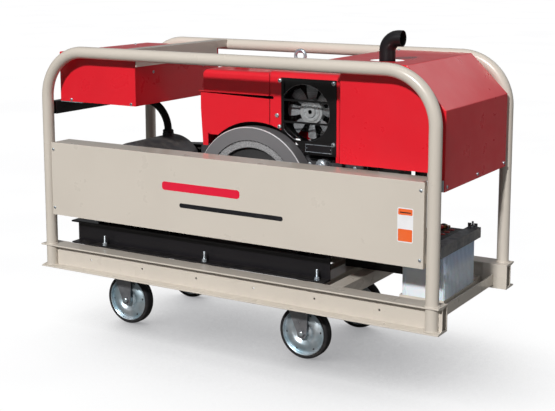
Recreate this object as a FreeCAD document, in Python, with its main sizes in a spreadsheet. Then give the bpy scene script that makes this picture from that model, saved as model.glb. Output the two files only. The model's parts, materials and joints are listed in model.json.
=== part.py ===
"""Engine driven welder: a diesel engine and a brushless welding generator in a tube frame on four casters.

+X points from the control box to the battery, +Y away from the flywheel side, +Z up.
The origin is on the floor under the middle of the frame. Lengths are millimetres.
"""
import FreeCAD, Part
import math
import os

import Sketcher

DRIVING_SIZES = {
    # frame of two rails and two bent hoops
    "post_pitch": 1767.0, "hoop_pitch": 705.0, "rail_bottom": 235.0, "rail_height": 100.0,
    "rail_width": 75.0, "rail_web": 5.0, "flange_tip": 5.5, "flange_root": 10.5, "flange_seat": 8.0,
    "rail_overhang": 37.5, "rail_inset": 8.5, "tube_outer": 24.3, "tube_inner": 21.1,
    "hoop_height": 1162.0, "hoop_bend": 195.0, "fit_gap": 0.3, "sheet_gauge": 2.0,
    "web_hole_pitch": 270.0, "web_hole": 4.5, "end_plate_length": 100.0, "end_plate_gauge": 6.0,
    "tie_reach": 27.0, "tie_width": 52.0, "tie_depth": 72.0, "tie_gauge": 4.0,
    "member_height": 50.0, "member_width": 62.0, "member_gauge": 5.0, "end_bar_height": 42.0,
    "end_bar_inset": 19.5, "end_bar_depth": 16.0,
    # guard panel between the near posts
    "guard_half_length": 855.0, "guard_face": 374.0, "guard_bottom": 469.0, "guard_height": 310.0,
    "guard_fold": 105.0, "guard_return": 25.0, "guard_screw_inset": 41.0, "guard_screw_margin": 30.0,
    # casters
    "wheel_radius": 107.0, "wheel_width": 46.0, "tyre_depth": 15.0, "axle_radius": 10.0,
    "running_gap": 0.05, "fork_offset": 20.0, "caster_track": 224.6, "caster_front": 299.0,
    "caster_rear": 563.0, "fork_gauge": 4.0, "crown_bottom": 216.0, "plate_gauge": 6.0, "race_height": 7.0,
    "kingpin_radius": 9.0, "race_radius": 44.0, "plate_length": 120.0, "plate_width": 104.0,
    # bed channels and bearers
    "bed_height": 100.0, "bed_flange": 50.0, "bed_web": 5.0, "bed_edge": 307.0, "bed_left": 812.0,
    "bed_right": 425.0, "bearer_height": 40.0, "bearer_width": 60.0,
    # control box
    "box_left": 856.0, "box_right": 457.0, "box_half_width": 302.5, "box_bottom": 948.0,
    "box_top": 1156.0,
    # end cover over the cylinder head
    "cover_left": 399.0, "cover_skirt_left": 485.0, "cover_ridge": 747.0, "cover_right": 901.0,
    "cover_half_width": 304.5, "cover_top": 1175.0, "cover_knee": 1023.0, "cover_bottom": 736.0,
    "skirt_bottom": 800.0, "skirt_return": 866.0, "stack_hole": 65.0,
    # engine
    "crank_across": 8.0, "crank_height": 618.0, "flywheel_radius": 264.0, "flywheel_face": 165.0,
    "flywheel_width": 65.0, "shaft_radius": 30.0, "block_left": 300.0, "block_right": 480.0,
    "block_half_width": 92.0, "crankcase_top": 780.0, "cylinder_top": 768.0, "head_right": 600.0,
    "hood_front": 150.0, "hood_back": 190.0, "tank_left": 226.0, "tank_right": 88.0,
    "tank_bottom": 1010.0, "tank_top": 1102.0, "tank_lip": 20.0, "hood_left": 90.0,
    "hood_right": 400.0, "hood_top": 1107.0, "hood_bottom": 770.0, "arch_across": 25.0,
    "arch_height": 620.0, "arch_radius": 283.0, "side_left": 230.0, "side_bottom": 836.0,
    "end_left": 242.0, "end_bottom": 789.0, "slot_height": 998.0, "screen_left": 142.0,
    "screen_right": 387.0, "screen_bottom": 792.0, "screen_top": 1086.0, "fan_across": 243.0,
    "fan_height": 951.0, "fan_ring": 118.0, "fan_radius": 112.0, "fan_hub": 46.0, "fan_shaft": 8.0,
    "eye_across": 142.0, "eye_height": 1160.0, "eye_ring": 22.0, "eye_bar": 6.5,
    # exhaust
    "stack_across": 598.0, "stack_back": 150.0, "stack_outer": 30.25, "stack_inner": 27.25,
    "stack_axis_top": 1256.0, "stack_outlet": 660.0, "stack_bend": 46.0, "muffler_height": 1000.0,
    "muffler_radius": 75.0, "muffler_left": 500.0, "muffler_right": 760.0,
    # generator and belt drive
    "generator_across": 556.0, "generator_height": 627.0, "generator_radius": 150.0,
    "generator_front": 215.0, "generator_back": 105.0, "rotor_shaft": 19.0, "rotor_pulley": 85.0,
    "crank_pulley": 130.0, "drive_start": 127.0, "drive_width": 36.0, "belt_depth": 8.0,
    "belt_width": 10.0, "guard_margin": 18.0, "conduit_radius": 17.0, "conduit_start": 706.0,
    "conduit_level": 927.0, "conduit_along": 50.0,
    # battery
    "battery_left": 670.0, "battery_length": 173.0, "battery_half_width": 153.0,
    "battery_bottom": 279.0, "battery_height": 221.0, "clamp_half_length": 195.0,
    "terminal_across": 722.0, "terminal_along": 122.0, "lead_radius": 6.0, "lead_level": 509.0,
}

DOC = FreeCAD.newDocument("engine_driven_welder")
SHEET = DOC.addObject("Spreadsheet::Sheet", "dims")


class Size:
    """A length that knows both its value and the sheet expression it comes from."""

    def __init__(self, value, text):
        self.value = float(value)
        self.text = text

    def _join(self, sign, other, value):
        return Size(value, f"({self.text}{sign}{text_of(other)})")

    def __add__(self, other):
        return self._join("+", other, self.value + value_of(other))

    def __sub__(self, other):
        return self._join("-", other, self.value - value_of(other))

    def __mul__(self, factor):
        return self._join("*", factor, self.value * value_of(factor))

    def __truediv__(self, factor):
        return self._join("/", factor, self.value / value_of(factor))

    def __radd__(self, other):
        return Size(other, repr(float(other))) + self

    def __rsub__(self, other):
        return Size(other, repr(float(other))) - self

    def __rmul__(self, factor):
        return self * factor

    def __neg__(self):
        return Size(-self.value, f"(-{self.text})")


def value_of(size):
    return size.value if isinstance(size, Size) else float(size)


def text_of(size):
    return size.text if isinstance(size, Size) else repr(float(size))


class Sizes:
    """The driving dimensions, each read as an attribute."""

    def __init__(self, sheet, table):
        for row, (name, value) in enumerate(table.items(), start=1):
            sheet.set(f"A{row}", name)
            sheet.set(f"B{row}", repr(value))
            sheet.setAlias(f"B{row}", name)
            setattr(self, name, Size(value, f"dims.{name}"))
        sheet.Document.recompute()


d = Sizes(SHEET, DRIVING_SIZES)
SUB_PARTS = []


# ---------------------------------------------------------------- building blocks

def bind(obj, prop, size):
    """Give a property its value, and its expression where it comes from the sheet."""
    if isinstance(size, Size):
        obj.setExpression(prop, size.text)
    else:
        setattr(obj, prop, float(size))


AIMS = {
    "Z": FreeCAD.Rotation(),
    "X": FreeCAD.Rotation(FreeCAD.Vector(0, 1, 0), 90),
    "Y": FreeCAD.Rotation(FreeCAD.Vector(1, 0, 0), -90),
}


def place(obj, x=0, y=0, z=0, rotation=None):
    """Put an object at a point, each coordinate bound to the sheet where it can be."""
    base = FreeCAD.Vector(value_of(x), value_of(y), value_of(z))
    obj.Placement = FreeCAD.Placement(base, rotation or FreeCAD.Rotation())
    for axis, size in zip("xyz", (x, y, z)):
        if isinstance(size, Size):
            obj.setExpression(f"Placement.Base.{axis}", size.text)
    return obj


def keep(obj, name):
    """Name a finished sub-part, which is written to its own file."""
    obj.Label = name
    SUB_PARTS.append(obj)
    return obj


def box(x, y, z, length, width, height):
    """A block with its lowest corner at x, y, z."""
    obj = DOC.addObject("Part::Box", "block")
    for prop, size in (("Length", length), ("Width", width), ("Height", height)):
        bind(obj, prop, size)
    return place(obj, x, y, z)


def span_box(x0, x1, y0, y1, z0, z1):
    """A block between two corners."""
    return box(x0, y0, z0, x1 - x0, y1 - y0, z1 - z0)


def cylinder(x, y, z, radius, height, aim="Z"):
    """A cylinder that starts at x, y, z and runs along +X, +Y or +Z."""
    obj = DOC.addObject("Part::Cylinder", "round")
    bind(obj, "Radius", radius)
    bind(obj, "Height", height)
    return place(obj, x, y, z, AIMS[aim])


def torus(x, y, z, ring, bar, aim="Z"):
    obj = DOC.addObject("Part::Torus", "ring")
    bind(obj, "Radius1", ring)
    bind(obj, "Radius2", bar)
    return place(obj, x, y, z, AIMS[aim])


def fuse(*solids):
    obj = DOC.addObject("Part::MultiFuse", "joined")
    obj.Shapes = list(solids)
    obj.Refine = True
    return obj


def cut(base, *tools):
    """The base with every tool taken away."""
    obj = DOC.addObject("Part::Cut", "trimmed")
    obj.Base = base
    obj.Tool = tools[0] if len(tools) == 1 else fuse(*tools)
    obj.Refine = True
    return obj


def group(*solids):
    """Several separate solids that make one sub-part."""
    obj = DOC.addObject("Part::Compound", "set")
    obj.Links = list(solids)
    return obj


def round_edges(base, radius, chosen):
    """Round the edges whose two ends pass the test."""
    DOC.recompute()
    picked = []
    for number, edge in enumerate(base.Shape.Edges, start=1):
        if all(chosen(vertex.Point) for vertex in edge.Vertexes) and len(edge.Vertexes) == 2:
            picked.append((number, value_of(radius), value_of(radius)))
    obj = DOC.addObject("Part::Fillet", "rounded")
    obj.Base = base
    obj.Edges = picked
    return obj


def origin_plane(body, plane):
    role = f"{plane}_Plane"
    return [item for item in body.Origin.OriginFeatures if item.Role == role][0]


def new_sketch(body, plane):
    sketch = body.newObject("Sketcher::SketchObject", "sketch")
    sketch.AttachmentSupport = [(origin_plane(body, plane), "")]
    sketch.MapMode = "FlatFace"
    return sketch


def constrain(sketch, constraint, size):
    """Add a constraint that takes its value from the sheet."""
    index = sketch.addConstraint(constraint)
    if isinstance(size, Size):
        sketch.setExpression(f"Constraints[{index}]", size.text)


def pin_point(sketch, item, end, u, v):
    """Fix one end of a line at u, v from the sketch's origin."""
    for kind, size in (("DistanceX", u), ("DistanceY", v)):
        constrain(sketch, Sketcher.Constraint(kind, -1, 1, item, end, value_of(size)), size)


def flat_point(u, v):
    return FreeCAD.Vector(value_of(u), value_of(v), 0)


def polygon_sketch(body, plane, corners):
    """A closed outline of straight sides through the corners."""
    sketch = new_sketch(body, plane)
    count = len(corners)
    for index, corner in enumerate(corners):
        following = corners[(index + 1) % count]
        sketch.addGeometry(Part.LineSegment(flat_point(*corner), flat_point(*following)))
    for index in range(count):
        sketch.addConstraint(Sketcher.Constraint("Coincident", index, 2, (index + 1) % count, 1))
    for index, corner in enumerate(corners):
        pin_point(sketch, index, 1, *corner)
    return sketch


def prism(plane, corners, depth, x=0, y=0, z=0):
    """An outline in the XY, YZ or XZ plane, thickened towards +Z, +X or +Y from x, y, z."""
    body = DOC.addObject("PartDesign::Body", "body")
    sketch = polygon_sketch(body, plane, corners)
    pad = body.newObject("PartDesign::Pad", "pad")
    pad.Profile = sketch
    bind(pad, "Length", depth)
    pad.Reversed = plane == "XZ"
    return place(body, x, y, z)


def turned(profile, x=0, y=0, z=0, aim="Z"):
    """A solid of revolution: the profile holds (radius, distance along the axis) corners."""
    body = DOC.addObject("PartDesign::Body", "body")
    sketch = polygon_sketch(body, "XZ", profile)
    spin = body.newObject("PartDesign::Revolution", "spin")
    spin.Profile = sketch
    spin.ReferenceAxis = (sketch, ["V_Axis"])
    spin.Angle = 360
    return place(body, x, y, z, AIMS[aim])


def bent_tube(plane, mouth_plane, corners, radii, outer, inner, x, y, z):
    """A tube swept from the body's origin through square corners, each with its bend radius."""
    body = DOC.addObject("PartDesign::Body", "body")
    path = new_sketch(body, plane)
    points = [(0.0, 0.0)] + list(corners)
    start = points[0]
    turns = []
    for index in range(1, len(points)):
        corner = points[index]
        before = points[index - 1]
        along = unit(before, corner)
        if index == len(points) - 1:
            stop = corner
        else:
            stop = moved(corner, along, -radii[index - 1])
        path.addGeometry(Part.LineSegment(flat_point(*start), flat_point(*stop)))
        line = path.GeometryCount - 1
        pin_point(path, line, 1, *start)
        pin_point(path, line, 2, *stop)
        if index == len(points) - 1:
            break
        ahead = unit(corner, points[index + 1])
        start = moved(corner, ahead, radii[index - 1])
        turns.append(add_bend(path, stop, along, ahead, radii[index - 1]))
    join_path(path, turns)
    mouth = new_sketch(body, mouth_plane)
    for radius in (outer, inner):
        if radius is None:
            continue
        circle = mouth.addGeometry(Part.Circle(FreeCAD.Vector(), FreeCAD.Vector(0, 0, 1), value_of(radius)))
        mouth.addConstraint(Sketcher.Constraint("Coincident", circle, 3, -1, 1))
        constrain(mouth, Sketcher.Constraint("Radius", circle, value_of(radius)), radius)
    DOC.recompute()
    sweep = body.newObject("PartDesign::AdditivePipe", "sweep")
    sweep.Profile = mouth
    sweep.Spine = path
    return place(body, x, y, z)


def unit(start, stop):
    """The direction, one of the four along the sketch's axes, from one point to the next."""
    du = value_of(stop[0]) - value_of(start[0])
    dv = value_of(stop[1]) - value_of(start[1])
    if abs(du) > abs(dv):
        return (math.copysign(1, du), 0)
    return (0, math.copysign(1, dv))


def moved(point, direction, distance):
    shift = [point[0], point[1]]
    for axis in (0, 1):
        if direction[axis]:
            shift[axis] = point[axis] + distance * direction[axis]
    return tuple(shift)


def add_bend(path, stop, along, ahead, radius):
    """A quarter circle between two straight runs, tied to the run before it."""
    centre = moved(stop, ahead, radius)
    turns_left = along[0] * ahead[1] - along[1] * ahead[0] > 0
    outward = (-ahead[0], -ahead[1]) if turns_left else along
    begin = math.atan2(outward[1], outward[0])
    circle = Part.Circle(flat_point(*centre), FreeCAD.Vector(0, 0, 1), value_of(radius))
    item = path.addGeometry(Part.ArcOfCircle(circle, begin, begin + math.pi / 2))
    constrain(path, Sketcher.Constraint("Radius", item, value_of(radius)), radius)
    return turns_left


def join_path(path, turns):
    """Tie each bend to the straight run before it and the one after it."""
    for number, turns_left in enumerate(turns):
        item = number * 2 + 1
        first, last = (1, 2) if turns_left else (2, 1)
        path.addConstraint(Sketcher.Constraint("Coincident", item, first, item - 1, 2))
        path.addConstraint(Sketcher.Constraint("Coincident", item, last, item + 1, 1))


def side_span(side, inner, outer):
    """The two places on an axis, lowest first, of something between two distances from the middle."""
    return (-outer, -inner) if side < 0 else (inner, outer)


# ---------------------------------------------------------------- shared places

half_pitch = d.post_pitch / 2
hoop_y = d.hoop_pitch / 2
rail_y = hoop_y - d.rail_inset
rail_top = d.rail_bottom + d.rail_height
rail_edge = rail_y - d.rail_width / 2
rail_half_length = half_pitch + d.rail_overhang
bed_top = rail_top + d.bed_height
bearer_top = bed_top + d.bearer_height
hoop_inner_side = hoop_y - d.tube_outer
gauge = d.sheet_gauge


# ---------------------------------------------------------------- frame

def make_rail(side):
    """A tapered I-beam, drilled, with a socket at each end where a hoop's foot stands."""
    half, web, tip = d.rail_width / 2, d.rail_web / 2, d.flange_tip
    low, high = d.flange_root, d.rail_height - d.flange_root
    top, top_tip = d.rail_height, d.rail_height - d.flange_tip
    profile = [
        (-half, 0), (half, 0), (half, tip), (web, low), (web, high), (half, top_tip),
        (half, top), (-half, top), (-half, top_tip), (-web, high), (-web, low), (-half, tip),
    ]
    beam = prism("YZ", profile, rail_half_length * 2, -rail_half_length, rail_y * side, d.rail_bottom)
    seat = d.rail_bottom + d.flange_seat
    socket = d.tube_outer + d.fit_gap
    tools = [cylinder(half_pitch * end, hoop_y * side, seat, socket, d.rail_height) for end in (-1, 1)]
    hole_z = d.rail_bottom + d.rail_height / 2
    for step in (-2.5, -1.5, -0.5, 0.5, 1.5, 2.5):
        start_y = rail_y * side - d.rail_web * 2
        tools.append(cylinder(d.web_hole_pitch * step, start_y, hole_z, d.web_hole, d.rail_web * 4, "Y"))
    for end in (-1, 1):
        hole_y = (rail_y + d.rail_width / 4) * side
        tools.append(cylinder(703.0 * end, hole_y, d.rail_bottom - 2, d.web_hole, d.flange_root + 4))
    return cut(beam, *tools)


def make_hoop(side):
    """A tube bent twice: it stands on the lower flanges of a rail's two ends."""
    foot = d.rail_bottom + d.flange_seat
    rise = d.hoop_height - foot
    corners = [(0, rise), (d.post_pitch, rise), (d.post_pitch, 0)]
    bends = [d.hoop_bend, d.hoop_bend]
    return bent_tube("XZ", "XY", corners, bends, d.tube_outer, d.tube_inner,
                     -half_pitch, hoop_y * side, foot)


def make_end_plates():
    """Plates welded over the inner side of each rail end, which box the section in."""
    plates = []
    for side in (-1, 1):
        y0, y1 = side_span(side, rail_edge - d.end_plate_gauge, rail_edge)
        for x0 in (-rail_half_length, rail_half_length - d.end_plate_length):
            plates.append(box(x0, y0, d.rail_bottom, d.end_plate_length, y1 - y0, d.rail_height))
    return plates


def channel_member(middle, z0, height, width, opening):
    """A channel along Y between the rails, with its open side up or down."""
    wall = d.member_gauge
    half = width / 2
    outer = span_box(middle - half, middle + half, -rail_edge, rail_edge, z0, z0 + height)
    if opening == "up":
        hollow_low, hollow_high = z0 + wall, z0 + height + 1
    else:
        hollow_low, hollow_high = z0 - 1, z0 + height - wall
    hollow = span_box(middle - half + wall, middle + half - wall, -rail_edge - 1, rail_edge + 1,
                      hollow_low, hollow_high)
    return cut(outer, hollow)


BED_MEMBERS = (-640.0, -133.0, 384.0, 477.0)
BATTERY_BEARERS = (697.0, 788.0)
CASTER_PLACES = (("rear", -d.caster_rear), ("front", d.caster_front))


def make_cross_members():
    """Everything welded across the frame: caster channels, bed members, battery bearers, end bars."""
    members = []
    for _, axle_x in CASTER_PLACES:
        members.append(channel_member(axle_x - d.fork_offset, d.rail_bottom, d.member_height - 0.5,
                                      d.plate_length, "up"))
    for middle in BED_MEMBERS:
        width = d.member_width if middle < 400 else d.member_width * 0.9
        members.append(channel_member(middle, rail_top - d.member_height,
                                      d.member_height, width, "down"))
    for middle in BATTERY_BEARERS:
        top = d.battery_bottom - gauge - 1
        members.append(channel_member(middle, top - 40.0, 40.0,
                                      44.0, "down"))
    plate_inner = rail_edge - d.end_plate_gauge
    for end in (-1, 1):
        outer_x = half_pitch - d.end_bar_inset
        bar_x0, bar_x1 = side_span(end, outer_x - d.end_bar_depth, outer_x)
        bar = span_box(bar_x0, bar_x1, -plate_inner, plate_inner,
                       d.rail_bottom + 13.0, d.rail_bottom + 13.0 + d.end_bar_height)
        hollow_x0, hollow_x1 = side_span(end, outer_x - d.end_bar_depth - 1, outer_x - 5.0)
        hollow = span_box(hollow_x0, hollow_x1, -plate_inner - 1, plate_inner + 1,
                          d.rail_bottom + 18.0, d.rail_bottom + 14.0 + d.end_bar_height)
        members.append(cut(bar, hollow))
    return group(*members, *make_end_plates())


def lug_places():
    """Where the guard panel screws on: X and Z of the four corners."""
    low = d.guard_bottom + d.guard_screw_margin
    high = d.guard_bottom + d.guard_height - d.guard_screw_margin
    return [((half_pitch - d.guard_screw_inset) * end, z) for end in (-1, 1) for z in (low, high)]


def make_frame_lugs():
    """Lugs on the near posts for the guard panel, and hangers for the control box."""
    lugs = []
    for x, z in lug_places():
        end = 1 if x.value > 0 else -1
        post_x = (half_pitch - d.tube_outer) * end
        tip_x = x - 14.0 * end
        x0, x1 = (tip_x, post_x) if end > 0 else (post_x, tip_x)
        strap = span_box(x0, x1, 4.0 - hoop_y, 8.0 - hoop_y, z - 13.0, z + 13.0)
        boss_y0, boss_y1 = side_span(-1, hoop_y - 6.0, d.guard_face - gauge)
        boss = cylinder(x, boss_y0, z, 8.0, boss_y1 - boss_y0, "Y")
        bore = cylinder(x, boss_y0 - 5.0, z, 3.0, boss_y1 - boss_y0 + 10.0, "Y")
        lugs.append(cut(fuse(strap, boss), bore))
    for side in (-1, 1):
        strap_y0 = 200.0 * side - 15.0
        lugs.append(span_box(-d.box_right, -d.box_right + d.tie_reach - d.tie_gauge, strap_y0,
                             strap_y0 + 30.0, d.box_top - 44.0,
                             d.box_top - 40.0))
    return group(*lugs)


def make_top_channel():
    """The angle that ties the two hoops together at the top, with its flange over the control box."""
    right = -(d.box_right - d.tie_reach)
    left = right - d.tie_width
    top = d.hoop_height + 22.0
    outer = span_box(left, right, -hoop_inner_side, hoop_inner_side, top - d.tie_depth, top)
    hollow = span_box(left - 1, right - d.tie_gauge, -hoop_inner_side - 1, hoop_inner_side + 1,
                      top - d.tie_depth - 1, top - d.tie_gauge)
    notch = span_box(left - 1, right + 1, 250.0, hoop_inner_side + 1, top - d.tie_depth - 1, top - 32.0)
    return cut(outer, hollow, notch)


def make_support_channel():
    """The channel between the two posts that carries the control box."""
    left, right = -(half_pitch + 10.0), -(half_pitch - 25.0)
    outer = span_box(left, right, -hoop_inner_side, hoop_inner_side, d.box_bottom - 54.0, d.box_bottom)
    hollow = span_box(left - 1, right - 5.0, -hoop_inner_side - 1, hoop_inner_side + 1,
                      d.box_bottom - 49.0, d.box_bottom - 5.0)
    return cut(outer, hollow)


# ---------------------------------------------------------------- sheet metal

def make_guard():
    """The folded panel between the near posts: face, deep top fold and two end returns."""
    face_y0, face_y1 = side_span(-1, d.guard_face - gauge, d.guard_face)
    fold_y0, fold_y1 = side_span(-1, d.guard_face - d.guard_fold, d.guard_face)
    back_y0, back_y1 = side_span(-1, d.guard_face - d.guard_return, d.guard_face)
    low, high = d.guard_bottom, d.guard_bottom + d.guard_height
    half = d.guard_half_length
    pieces = [
        span_box(-half, half, face_y0, face_y1, low, high),
        span_box(-half + 8.0, half - 8.0, fold_y0, fold_y1, high - gauge, high),
        span_box(-half, -half + gauge, back_y0, back_y1, low, high),
        span_box(half - gauge, half, back_y0, back_y1, low, high),
    ]
    holes = [cylinder(x, face_y0 - 2.0, z, 3.2, gauge + 4.0, "Y") for x, z in lug_places()]
    return cut(fuse(*pieces), *holes)


def screw(x, y, z, outward, length=10.0):
    """A round-headed screw whose head rests on a face and points outward along X, Y or Z."""
    axis = outward[0]
    sign = -1 if outward[1] == "-" else 1
    head, shank = 4.0, length
    at = {"X": x, "Y": y, "Z": z}
    head_at = dict(at)
    shank_at = dict(at)
    if sign < 0:
        head_at[axis] = at[axis] - head
    else:
        shank_at[axis] = at[axis] - shank
    top = cylinder(head_at["X"], head_at["Y"], head_at["Z"], 6.5, head, axis)
    stem = cylinder(shank_at["X"], shank_at["Y"], shank_at["Z"], 2.9, shank, axis)
    return fuse(top, stem)


def cover_screw_places():
    """The holes in the two red covers: on the end cover's end and top, and round the control box."""
    end_z = d.cover_bottom + 16.0
    places = []
    for step in (-1, 0, 1):
        places.append((d.cover_right, (d.cover_half_width - 22.0) * step + 6.0 * (step == 0), end_z, "X+"))
    for side, mark in ((-1, "Y-"), (1, "Y+")):
        for x in (-797.0, -480.0):
            places.append((x, d.box_half_width * side, d.box_bottom + 8.0, mark))
    for y in (-180.0, 180.0):
        places.append((-d.box_right, y, d.box_top - 76.0, "X+"))
        places.append((-(d.box_left - 26.0), y, d.box_top, "Z+"))
        places.append((d.cover_left + 40.0, y * 1.6, d.cover_top, "Z+"))
    return places


def cover_tabs():
    """Two angles that hold the lower corners of the end cover to the posts beside it."""
    tabs = []
    low = d.cover_bottom + 2.0
    for side in (-1, 1):
        leg_y0, leg_y1 = side_span(side, d.cover_half_width + d.fit_gap, hoop_inner_side)
        foot_y0, foot_y1 = side_span(side, d.cover_half_width + d.fit_gap,
                                     d.cover_half_width + d.fit_gap + 3.0)
        leg = span_box(half_pitch, half_pitch + 3.0, leg_y0, leg_y1, low, low + 48.0)
        foot = span_box(half_pitch - 12.0, half_pitch + 15.0, foot_y0, foot_y1, low, low + 48.0)
        tabs.append(fuse(leg, foot))
    return tabs


def make_fasteners():
    """The screws of the guard and the covers, the bolts of the bed and the tabs of the end cover."""
    screws = [screw(x, -d.guard_face, z, "Y-", 18.0) for x, z in lug_places()]
    for x, y, z, mark in cover_screw_places():
        screws.append(screw(x, y, z, mark, 8.0))
    return group(*screws, *bed_bolts(), *cover_tabs())


def cover_screw_holes(first, last):
    """Clearance holes through a cover for part of the list of screws."""
    holes = []
    for x, y, z, mark in cover_screw_places():
        if not first <= value_of(x) <= last:
            continue
        at = {"X": x, "Y": y, "Z": z}
        at[mark[0]] = at[mark[0]] - 6.0
        holes.append(cylinder(at["X"], at["Y"], at["Z"], 3.2, 12.0, mark[0]))
    return holes


def make_control_cover():
    """The red cover of the control box, open underneath and towards the instrument panel."""
    left, right, half = -d.box_left, -d.box_right, d.box_half_width
    outer = span_box(left, right, -half, half, d.box_bottom, d.box_top)
    inner = span_box(left - 1, right - gauge, -half + gauge, half - gauge,
                     d.box_bottom - 1, d.box_top - gauge)
    return cut(outer, inner, *cover_screw_holes(-900.0, -450.0))


def make_control_tray():
    """The tray under the control box: a floor with a hole for the conduit and two upturned lips."""
    left, right = -d.box_left + 4.0, -d.box_right - gauge - d.fit_gap
    half = d.box_half_width - gauge - d.fit_gap
    floor = span_box(left, right, -half, half, d.box_bottom, d.box_bottom + gauge)
    lips = []
    for side in (-1, 1):
        y0, y1 = side_span(side, half - gauge, half)
        lips.append(span_box(left, right, y0, y1, d.box_bottom, d.box_bottom + 24.0))
    tools = [cylinder(-d.conduit_start, d.conduit_along, d.box_bottom - 2, d.conduit_radius - 5.0, 10.0)]
    tools += cover_screw_holes(-900.0, -450.0)
    return cut(fuse(floor, *lips), *tools)


PANEL_MIDDLE = (d.box_bottom + d.box_top) / 2
METER = (200.0, 44.0, 33.0)
DIAL = (20.0, 40.0)
KEY = (-215.0, 44.0)
BREAKER = (105.0, 44.0, 46.0, 76.0)
SOCKETS = ((-190.0, -46.0), (-110.0, -46.0))
TERMINALS = ((70.0, -46.0), (150.0, -46.0), (230.0, -46.0))
SOCKET_RADIUS = 26.0
STUD_RADIUS = 6.0


def on_panel(y, rise):
    """A place on the instrument panel: its Y, and its height above the middle of the box."""
    return y, PANEL_MIDDLE + rise


def panel_hole(y, rise, radius):
    place_y, place_z = on_panel(y, rise)
    return cylinder(-d.box_left - 4.0, place_y, place_z, radius, 14.0, "X")


def make_control_panel():
    """The upright instrument panel, with an opening for each instrument."""
    half = d.box_half_width - gauge - d.fit_gap
    plate = span_box(-d.box_left, -d.box_left + 3.0, -half, half, d.box_bottom + gauge + d.fit_gap,
                     d.box_top - gauge - d.fit_gap)
    tools = [panel_hole(METER[0], METER[1], METER[2] - 3.0)]
    tools += [panel_hole(y, z, SOCKET_RADIUS - 5.0) for y, z in SOCKETS]
    tools += [panel_hole(y, z, STUD_RADIUS + 6.3) for y, z in TERMINALS]
    tools += [panel_hole(*DIAL, 5.3), panel_hole(*KEY, 8.3)]
    y, z = on_panel(BREAKER[0], BREAKER[1])
    tools.append(span_box(-d.box_left - 4.0, -d.box_left + 8.0, y - BREAKER[2] / 2 + 3.0,
                          y + BREAKER[2] / 2 - 3.0, z - BREAKER[3] / 2 + 3.0, z + BREAKER[3] / 2 - 3.0))
    return cut(plate, *tools)


def make_panel_instruments():
    """The meter, the breaker body, the dial bushing and the key barrel, seated on the panel."""
    face = -d.box_left
    y, z = on_panel(METER[0], METER[1])
    bezel = cylinder(face - 12.0, y, z, METER[2], 12.0, "X")
    barrel = cylinder(face, y, z, METER[2] - 3.2, 34.0, "X")
    dish = cylinder(face - 13.0, y, z, METER[2] - 6.0, 6.0, "X")
    meter = cut(fuse(bezel, barrel), dish)
    y, z = on_panel(BREAKER[0], BREAKER[1])
    frame = box(face - 8.0, y - BREAKER[2] / 2, z - BREAKER[3] / 2, 8.0, BREAKER[2], BREAKER[3])
    _, _, wide, high = BREAKER
    inset = 3.3
    back = box(face, y - wide / 2 + inset, z - high / 2 + inset, 44.0, wide - inset * 2, high - inset * 2)
    slot = box(face - 9.0, y - 8.0, z - 20.0, 24.0, 16.0, 40.0)
    breaker = cut(fuse(frame, back), slot)
    y, z = on_panel(*DIAL)
    bushing = cut(fuse(cylinder(face - 3.0, y, z, 11.0, 3.0, "X"), cylinder(face, y, z, 5.0, 26.0, "X")),
                  cylinder(face - 4.0, y, z, 3.05, 30.0, "X"))
    y, z = on_panel(*KEY)
    lock = cut(fuse(cylinder(face - 6.0, y, z, 14.0, 6.0, "X"), cylinder(face, y, z, 8.0, 30.0, "X")),
               cylinder(face - 7.0, y, z, 4.05, 22.0, "X"))
    return group(meter, breaker, bushing, lock)


def make_sockets():
    """Two round outlets with a hinged-look collar and a recessed face."""
    solids = []
    for y, rise in SOCKETS:
        at_y, at_z = on_panel(y, rise)
        flange = box(-d.box_left - 5.0, at_y - 32.0, at_z - 32.0, 5.0, 64.0, 64.0)
        collar = cylinder(-d.box_left - 18.0, at_y, at_z, SOCKET_RADIUS, 13.0, "X")
        back = cylinder(-d.box_left, at_y, at_z, SOCKET_RADIUS - 5.3, 28.0, "X")
        recess = cylinder(-d.box_left - 19.0, at_y, at_z, SOCKET_RADIUS - 6.0, 14.0, "X")
        solids.append(cut(fuse(flange, collar, back), recess))
    return group(*solids)


def make_terminals():
    """Three brass output studs, each through an insulating collar with a hexagon nut."""
    solids = []
    for y, rise in TERMINALS:
        at_y, at_z = on_panel(y, rise)
        face = -d.box_left
        collar = fuse(cylinder(face - 10.0, at_y, at_z, 20.0, 10.0, "X"),
                      cylinder(face, at_y, at_z, STUD_RADIUS + 6.0, 12.0, "X"))
        solids.append(cut(collar, cylinder(face - 11.0, at_y, at_z, STUD_RADIUS, 26.0, "X")))
        stud = cylinder(face - 36.0, at_y, at_z, STUD_RADIUS, 60.0, "X")
        nut = hexagon(11.0, 9.0, face - 19.0, at_y, at_z)
        solids.append(fuse(stud, nut))
    return group(*solids)


def hexagon(across_corners, thickness, x, y, z, plane="YZ"):
    """A hexagon nut or head with its axis along X, Y or Z."""
    corners = []
    for step in range(6):
        angle = math.radians(60 * step)
        corners.append((across_corners * math.cos(angle), across_corners * math.sin(angle)))
    return prism(plane, corners, thickness, x, y, z)


def make_dial():
    """The welding current knob: a fluted skirt on a shaft that turns in its bushing."""
    y, z = on_panel(*DIAL)
    knob = turned([(0, -30), (21, -30), (24, -27), (25, -4), (30, -4), (30, 0), (0, 0)],
                  -d.box_left - 3.5, y, z, "X")
    shaft = cylinder(-d.box_left - 4.0, y, z, 3.0, 28.0, "X")
    flutes = []
    for step in range(12):
        angle = math.radians(30 * step + 15)
        flutes.append(cylinder(-d.box_left - 36.0, y + 27.0 * math.cos(angle), z + 27.0 * math.sin(angle),
                               4.0, 27.0, "X"))
    pointer = box(-d.box_left - 35.0, y - 1.5, z + 4.0, 2.5, 3.0, 14.0)
    return cut(fuse(knob, shaft), pointer, *flutes)


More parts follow.
